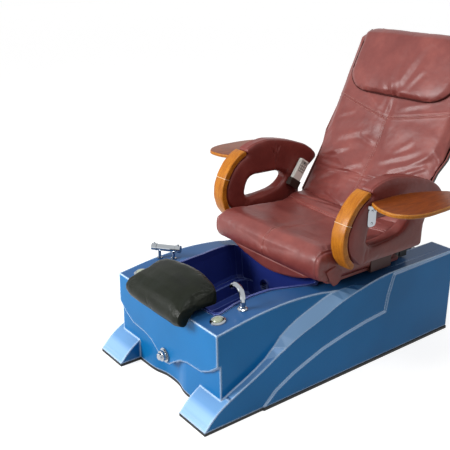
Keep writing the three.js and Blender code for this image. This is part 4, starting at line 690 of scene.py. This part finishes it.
DOWN = (0, 0, -1)
FLAP_HALF = 296
FLAP_COLUMNS, FLAP_ROWS, BRIDGE_ROWS = 60, 12, 10       # the rows after the bridge are tucked down
FLAP_LIFTS = (-5.0, 4.0)                                # its underside and its top, from the leather it joins
FLAP_HEM = 6


def flap_form():
    """A thin closed form from the seat's bowed rear seam over the gap and down into the crease of the back."""
    mesh = bmesh.new()
    layers = ([], [])
    for i in range(FLAP_COLUMNS + 1):
        x = -FLAP_HALF + 2 * FLAP_HALF * i / FLAP_COLUMNS
        front = flap_seam(x)
        seam = met(SEAT, (x, front, 600), DOWN) or Vector((x, front, 512))
        rest = met(BACK, (x, 900, 526), (0, 1, 0)) or Vector((x, 1044, 526))
        for layer, lift in zip(layers, FLAP_LIFTS):
            row = []
            for j in range(FLAP_ROWS + 1):
                along = min(j / BRIDGE_ROWS, 1)
                tucked = max(j - BRIDGE_ROWS, 0) / (FLAP_ROWS - BRIDGE_ROWS)
                y = seam.y + (rest.y + 6 - seam.y) * along + 8 * tucked
                z = seam.z + (rest.z - seam.z) * along + 10 * math.sin(math.pi * along ** 0.8) - 24 * tucked
                row.append(mesh.verts.new(at(x, y, z + lift)))
            layer.append(row)
    low, high = layers
    for a, b in zip(range(FLAP_COLUMNS), range(1, FLAP_COLUMNS + 1)):
        for j in range(FLAP_ROWS):
            mesh.faces.new((high[a][j], high[b][j], high[b][j + 1], high[a][j + 1]))
            mesh.faces.new((low[a][j], low[a][j + 1], low[b][j + 1], low[b][j]))
        mesh.faces.new((low[a][0], low[b][0], high[b][0], high[a][0]))
        mesh.faces.new((low[a][FLAP_ROWS], high[a][FLAP_ROWS], high[b][FLAP_ROWS], low[b][FLAP_ROWS]))
    for end in (0, FLAP_COLUMNS):
        for j in range(FLAP_ROWS):
            mesh.faces.new((low[end][j], high[end][j], high[end][j + 1], low[end][j + 1]))
    return new_piece("seat_back_flap", mesh)


def flap_relief(places, normals):
    x, y, z = places.T
    up = np.clip(normals[:, 2], 0, 1)
    seam = y - flap_seam(x)
    height = groove(seam - 8, 2.4, 1.6)
    height += crease(x, y, (-280, 1000), (-60, 1032), 8, 3.0) + crease(x, y, (60, 1024), (250, 1006), 8, 2.6)
    height += crease(x, y, (-120, 990), (90, 1012), 9, 2.0)
    return up * (height + 0.9 * wander(places, 40, 9.0))


def flap_sewn(places):
    """Which of the flap's points are sewn to the seat or tucked behind it at the back."""
    return (places[:, 1] < flap_seam(places[:, 0]) + FLAP_HEM) | (places[:, 1] > 1040)


FLAP = stuffed(flap_form(), LEATHER, "burgundy_leather", 0.3, voxel=0.0026, shrink=0.2, pressure=2, cap=3, soften=3,
               held=flap_sewn, relief=flap_relief, subdivide=False)
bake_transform(FLAP)

# ------------------------------------------------------------------ piping and stitching


PILLOW_MIDDLE = 700         # height on the back
PILLOW_TURN = 2.1           # radians each way from straight down
PILLOW_PIPING, BACK_PIPING, THREAD_RADIUS = 0.0042, 0.003, 0.00045
STITCH_PITCH, STITCH_LENGTH, STITCH_LIFT = 7.0, 4.6, 0.35


def rod(name, paths, radius, material, body, detail=2):
    """Round piping or thread along one or more open paths of points in metres."""
    curve = bpy.data.curves.new(name, "CURVE")
    curve.dimensions = "3D"
    curve.bevel_depth = radius
    curve.bevel_resolution = detail
    curve.use_fill_caps = True
    for path in paths:
        spline = curve.splines.new("POLY")
        spline.points.add(len(path) - 1)
        for knot, place in zip(spline.points, path):
            knot.co = (*place, 1)
    holder = bpy.data.objects.new(name, curve)
    bpy.context.scene.collection.objects.link(holder)
    drawn = holder.evaluated_get(bpy.context.evaluated_depsgraph_get())
    mesh = bpy.data.meshes.new_from_object(drawn)
    bpy.data.objects.remove(holder)
    obj = new_piece(name, mesh)
    obj.data.shade_smooth()
    return fitted(obj, material, body)


def pillow_rim():
    """The outline of the head pillow from its upper left round the bottom to its upper right."""
    places, _ = vertices(PILLOW)
    x, depth, up = back_frame_of(places)
    turn, reach = np.arctan2(x, PILLOW_MIDDLE - up), np.hypot(x, PILLOW_MIDDLE - up)
    rim = []
    for angle in np.linspace(-PILLOW_TURN, PILLOW_TURN, 90):
        near = np.nonzero(np.abs(turn - angle) < 0.03)[0]
        edge = near[np.argmax(reach[near])]
        rim.append((x[edge], depth[edge], up[edge]))
    rim = np.array(rim)
    for _ in range(6):
        rim[1:-1] = (rim[:-2] + rim[1:-1] + rim[2:]) / 3
    return rim


rod("pillow_piping", [[leaned(x * 1.004, depth - 1, up - 1) for x, depth, up in pillow_rim()]], PILLOW_PIPING, PIPING,
    "back")

# the back shell's edge is straight between these heights, and the piping lies on it
SHELL_ROWS = np.linspace(40, 806, 13)
PIPING_START, PIPING_DEPTH, PIPING_PROUD = 48, -29.5, 1.5
round_corner = BACK_TOP - BACK_CORNER * (1 - np.sin(np.linspace(0.1, math.pi / 2, 9)))
edge = [(back_half(up) + PIPING_PROUD, up) for up in np.r_[PIPING_START, SHELL_ROWS[1:], round_corner]]
left_edge = [leaned(x, PIPING_DEPTH, up) for x, up in edge]
right_edge = [leaned(-x, PIPING_DEPTH, up) for x, up in reversed(edge)]
rod("back_piping", [left_edge + right_edge], BACK_PIPING, LEATHER, "back")


def stitches(name, obj, path, body, direction):
    """A row of thread stitches along a path of drawing points, laid on the piece that a ray along direction meets."""
    spots, places = [], [met(obj, point, direction) for point in path]
    places = [place for place in places if place]
    for a, b in zip(places, places[1:]):
        count = max(1, round((b - a).length / STITCH_PITCH))
        for i in range(count):
            start = a.lerp(b, (i + 0.2) / count)
            spots.append((start, (b - a).normalized()))
    paths = []
    lift = -Vector(direction).normalized() * STITCH_LIFT
    for start, run in spots:
        middle = start + run * STITCH_LENGTH / 2 + lift * 2
        paths.append([at(*(start + lift)), at(*middle), at(*(start + run * STITCH_LENGTH + lift))])
    return rod(name, paths, THREAD_RADIUS, THREAD, body, detail=0)


def on_back(x, up):
    """A drawing point well in front of the back at a place along it."""
    place = leaned(x, -260, up)
    return (place.x / MM, (place.y + TOE_Y) / MM, place.z / MM)


INTO_BACK = (0, math.cos(LEAN), -math.sin(LEAN))
OVER_SEAT = 620             # a height above every part of the seat, to look down from
for row, lift in (("lower", -5), ("upper", 6)):
    stitches(f"yoke_stitching_{row}", BACK,
             [on_back(x, yoke_height(abs(x)) + lift) for x in np.linspace(-318, 318, 60)], "back", INTO_BACK)
for side, word in reversed(SIDES):
    stitches(f"back_seam_stitching_{word}", BACK,
             [on_back(THREAD_GAP * side, up) for up in np.linspace(10, 455, 50)], "back", INTO_BACK)
    stitches(f"seat_seam_stitching_{word}", SEAT,
             [(SEAT_SEAM_X + THREAD_GAP * side, y, OVER_SEAT) for y in np.linspace(566, 650, 18)], "seat", DOWN)
    stitches(f"seat_border_stitching_{word}", SEAT,
             [((SEAT_BORDER_X - THREAD_GAP) * side, y, OVER_SEAT) for y in np.linspace(572, 935, 50)], "seat", DOWN)
stitches("flap_stitching", FLAP, [(x, flap_seam(x) + FLAP_HEM, OVER_SEAT) for x in np.linspace(-282, 282, 60)],
         "seat", DOWN)

# ------------------------------------------------------------------ small leather and wood parts


def plate(name, outline, axis_from, axis_to, round_off=0.0008):
    """A flat part from a (y, z) outline in drawing millimetres, thickened along x, with rounded edges."""
    mesh = bmesh.new()
    near = [mesh.verts.new(at(axis_from, y, z)) for y, z in outline]
    far = [mesh.verts.new(at(axis_to, y, z)) for y, z in outline]
    mesh.faces.new(near)
    mesh.faces.new(far[::-1])
    for i in range(len(outline)):
        j = (i + 1) % len(outline)
        mesh.faces.new((near[j], near[i], far[i], far[j]))
    obj = new_piece(name, mesh)
    modified(obj, "BEVEL", width=round_off, segments=2, limit_method="ANGLE", angle_limit=math.radians(40))
    smooth(obj, 40)
    return obj


def tab_relief(places, normals):
    return 0.5 * wander(places, 14, 2.0)


TAB_OUTLINE = [(602, 452), (650, 468), (690, 440), (682, 400), (664, 386), (644, 384), (622, 410)]
JOINT_STRIP_OUTLINE = [(-13.7, -0.8), (13.6, -0.8), (13.6, 0.8), (-13.7, 0.8)]       # across the bent wood and along it
for side, word in SIDES:
    tab = plate(f"corner_tab_{word}", TAB_OUTLINE, side * 330.6, side * 334.2)
    stuffed(tab, ARM_LEATHER, "burgundy_leather", 0.3, voxel=0.0012, shrink=0.1, pressure=1, cap=1.5, soften=2,
            held=lambda p: p[:, 2] > 446, relief=tab_relief, subdivide=False)
    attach(tab, "seat")
    # a thin strip on the wood's real joint, pale as a painted highlight along it
    run = Vector((0, -20, -52)).normalized()
    out = Vector((0, -52, 20)).normalized()
    middle = Vector((0, 627.5, 655)) - out * 13.3
    corners = [middle + out * a + run * b for a, b in JOINT_STRIP_OUTLINE]
    joint = plate(f"wood_joint_line_{word}", [(c.y, c.z) for c in corners], side * 335.7, side * 402.3, 0.0002)
    fitted(joint, JOINT_HIGHLIGHT_PAINT, "seat")

# ------------------------------------------------------------------ screws, bolts and the keys of the remote


def turned_parts(name, profile, spots, material, body, sides=20):
    """Copies of one turned profile of (radius, height) in mm, standing at each (drawing point, direction)."""
    mesh = bmesh.new()
    for place, direction in spots:
        turn = Vector(direction).to_track_quat("Z", "Y").to_matrix()
        rings = []
        for radius, height in profile:
            if radius == 0:
                rings.append([mesh.verts.new(at(*(Vector(place) + turn @ Vector((0, 0, height)))))])
                continue
            angles = [2 * math.pi * i / sides for i in range(sides)]
            ring = [Vector((radius * math.cos(a), radius * math.sin(a), height)) for a in angles]
            rings.append([mesh.verts.new(at(*(Vector(place) + turn @ point))) for point in ring])
        for low, high in zip(rings, rings[1:]):
            for i in range(sides):
                j = (i + 1) % sides
                if len(high) == 1:
                    mesh.faces.new((low[i], low[j], high[0]))
                elif len(low) == 1:
                    mesh.faces.new((low[0], high[j], high[i]))
                else:
                    mesh.faces.new((low[i], low[j], high[j], high[i]))
    obj = new_piece(name, mesh)
    smooth(obj, 40)
    return fitted(obj, material, body)


SCREW = [(0, -0.4), (5, -0.4), (5, 0.8), (4.4, 2.0), (3.0, 2.8), (2.2, 2.8), (2.0, 1.4), (0, 1.2)]
BRACKET_FACE, PLATE_FACE, COVER_FACE = 407.3, 330.7, 1339
for side, word in SIDES:
    tray_screws = [((side * BRACKET_FACE, 754, z), (side, 0, 0)) for z in (640, 690)]
    turned_parts(f"tray_screws_{word}", SCREW, tray_screws, CHROME, "seat")
    arm_bolts = [((side * PLATE_FACE, y, 440), (-side, 0, 0)) for y in (875, 945)]
    turned_parts(f"arm_bolts_{word}", SCREW, arm_bolts, STEEL, "seat")
cover_screws = [((x, COVER_FACE, z), (0, 1, 0)) for x in (-172, 172) for z in (74, 252)]
turned_parts("cover_screws", SCREW, cover_screws, STEEL, "base")

TILT = math.radians(34)
REMOTE_FACE, REMOTE_Y, REMOTE_Z = -308, 1046, 616


def on_remote(y, z):
    """A drawing point on the face of the remote control, from its middle."""
    return Vector((REMOTE_FACE, REMOTE_Y + y * math.cos(TILT) + z * math.sin(TILT),
                   REMOTE_Z - y * math.sin(TILT) + z * math.cos(TILT)))


KEYPAD_CORNERS = [(-21, 6), (21, 6), (21, 60), (-21, 60)]
keypad = plate("remote_keypad", [(c.y, c.z) for c in (on_remote(y, z) for y, z in KEYPAD_CORNERS)], -308.2,
               REMOTE_FACE + 0.5, 0.0003)
fitted(keypad, KEYS, "remote")

KEY = [(0, -0.2), (4.2, -0.2), (4.2, 0.9), (3.6, 1.3), (0, 1.4)]


def key_spot(y, z):
    """Where a key stands on the keypad, and that it faces out of it."""
    return on_remote(y, z) + Vector((0.3, 0, 0)), (1, 0, 0)


turned_parts("remote_keys", KEY, [key_spot(y, z) for y in (-13, 0, 13) for z in (14, 27, 40)], WHITE,
             "remote", 14)
turned_parts("remote_power_key", KEY, [key_spot(0, 53)], RUBBER, "remote", 14)

# the finish of the CAD solids that are shown as they are
CARRIED = {
    BLUE: ["service_cover"],
    RUBBER: ["base_trim"] + [n for n in NODES if n.startswith("levelling_foot")],
    CHROME: ["jet_left", "jet_right", "drain_strainer", "spout_flange", "spout", "mixer_body", "flow_knob",
             "temperature_knob", "button_bezel_left", "button_bezel_right", "drain_rosette"],
    CLEAR: ["air_button_left", "air_button_right"],
    STEEL: ["footrest_sleeve_left", "footrest_sleeve_right", "footrest_frame", "chassis_frame",
            "circulation_pump", "slide_rail_left", "slide_rail_right", "slide_actuator", "slide_carriage",
            "recline_motor", "back_frame", "massage_carriage"],
    BLACK_PAINT: ["seat_frame"],
    # painted shade under the arms on the support plates
    UNDER_ARM_SHADE_PAINT: ["arm_support_left", "arm_support_right"],
    DARK: ["control_box", "remote_holder", "back_shell", "massage_motor"],
    PVC: ["suction_pipe", "jet_pipe"],
    LEATHER: ["seat_board"],
    WHITE: ["remote_control", "kneading_head_left", "kneading_head_right"],
}
for material, names in CARRIED.items():
    for name in names:
        paint(NODES[name], material)
        smooth(NODES[name], 30)
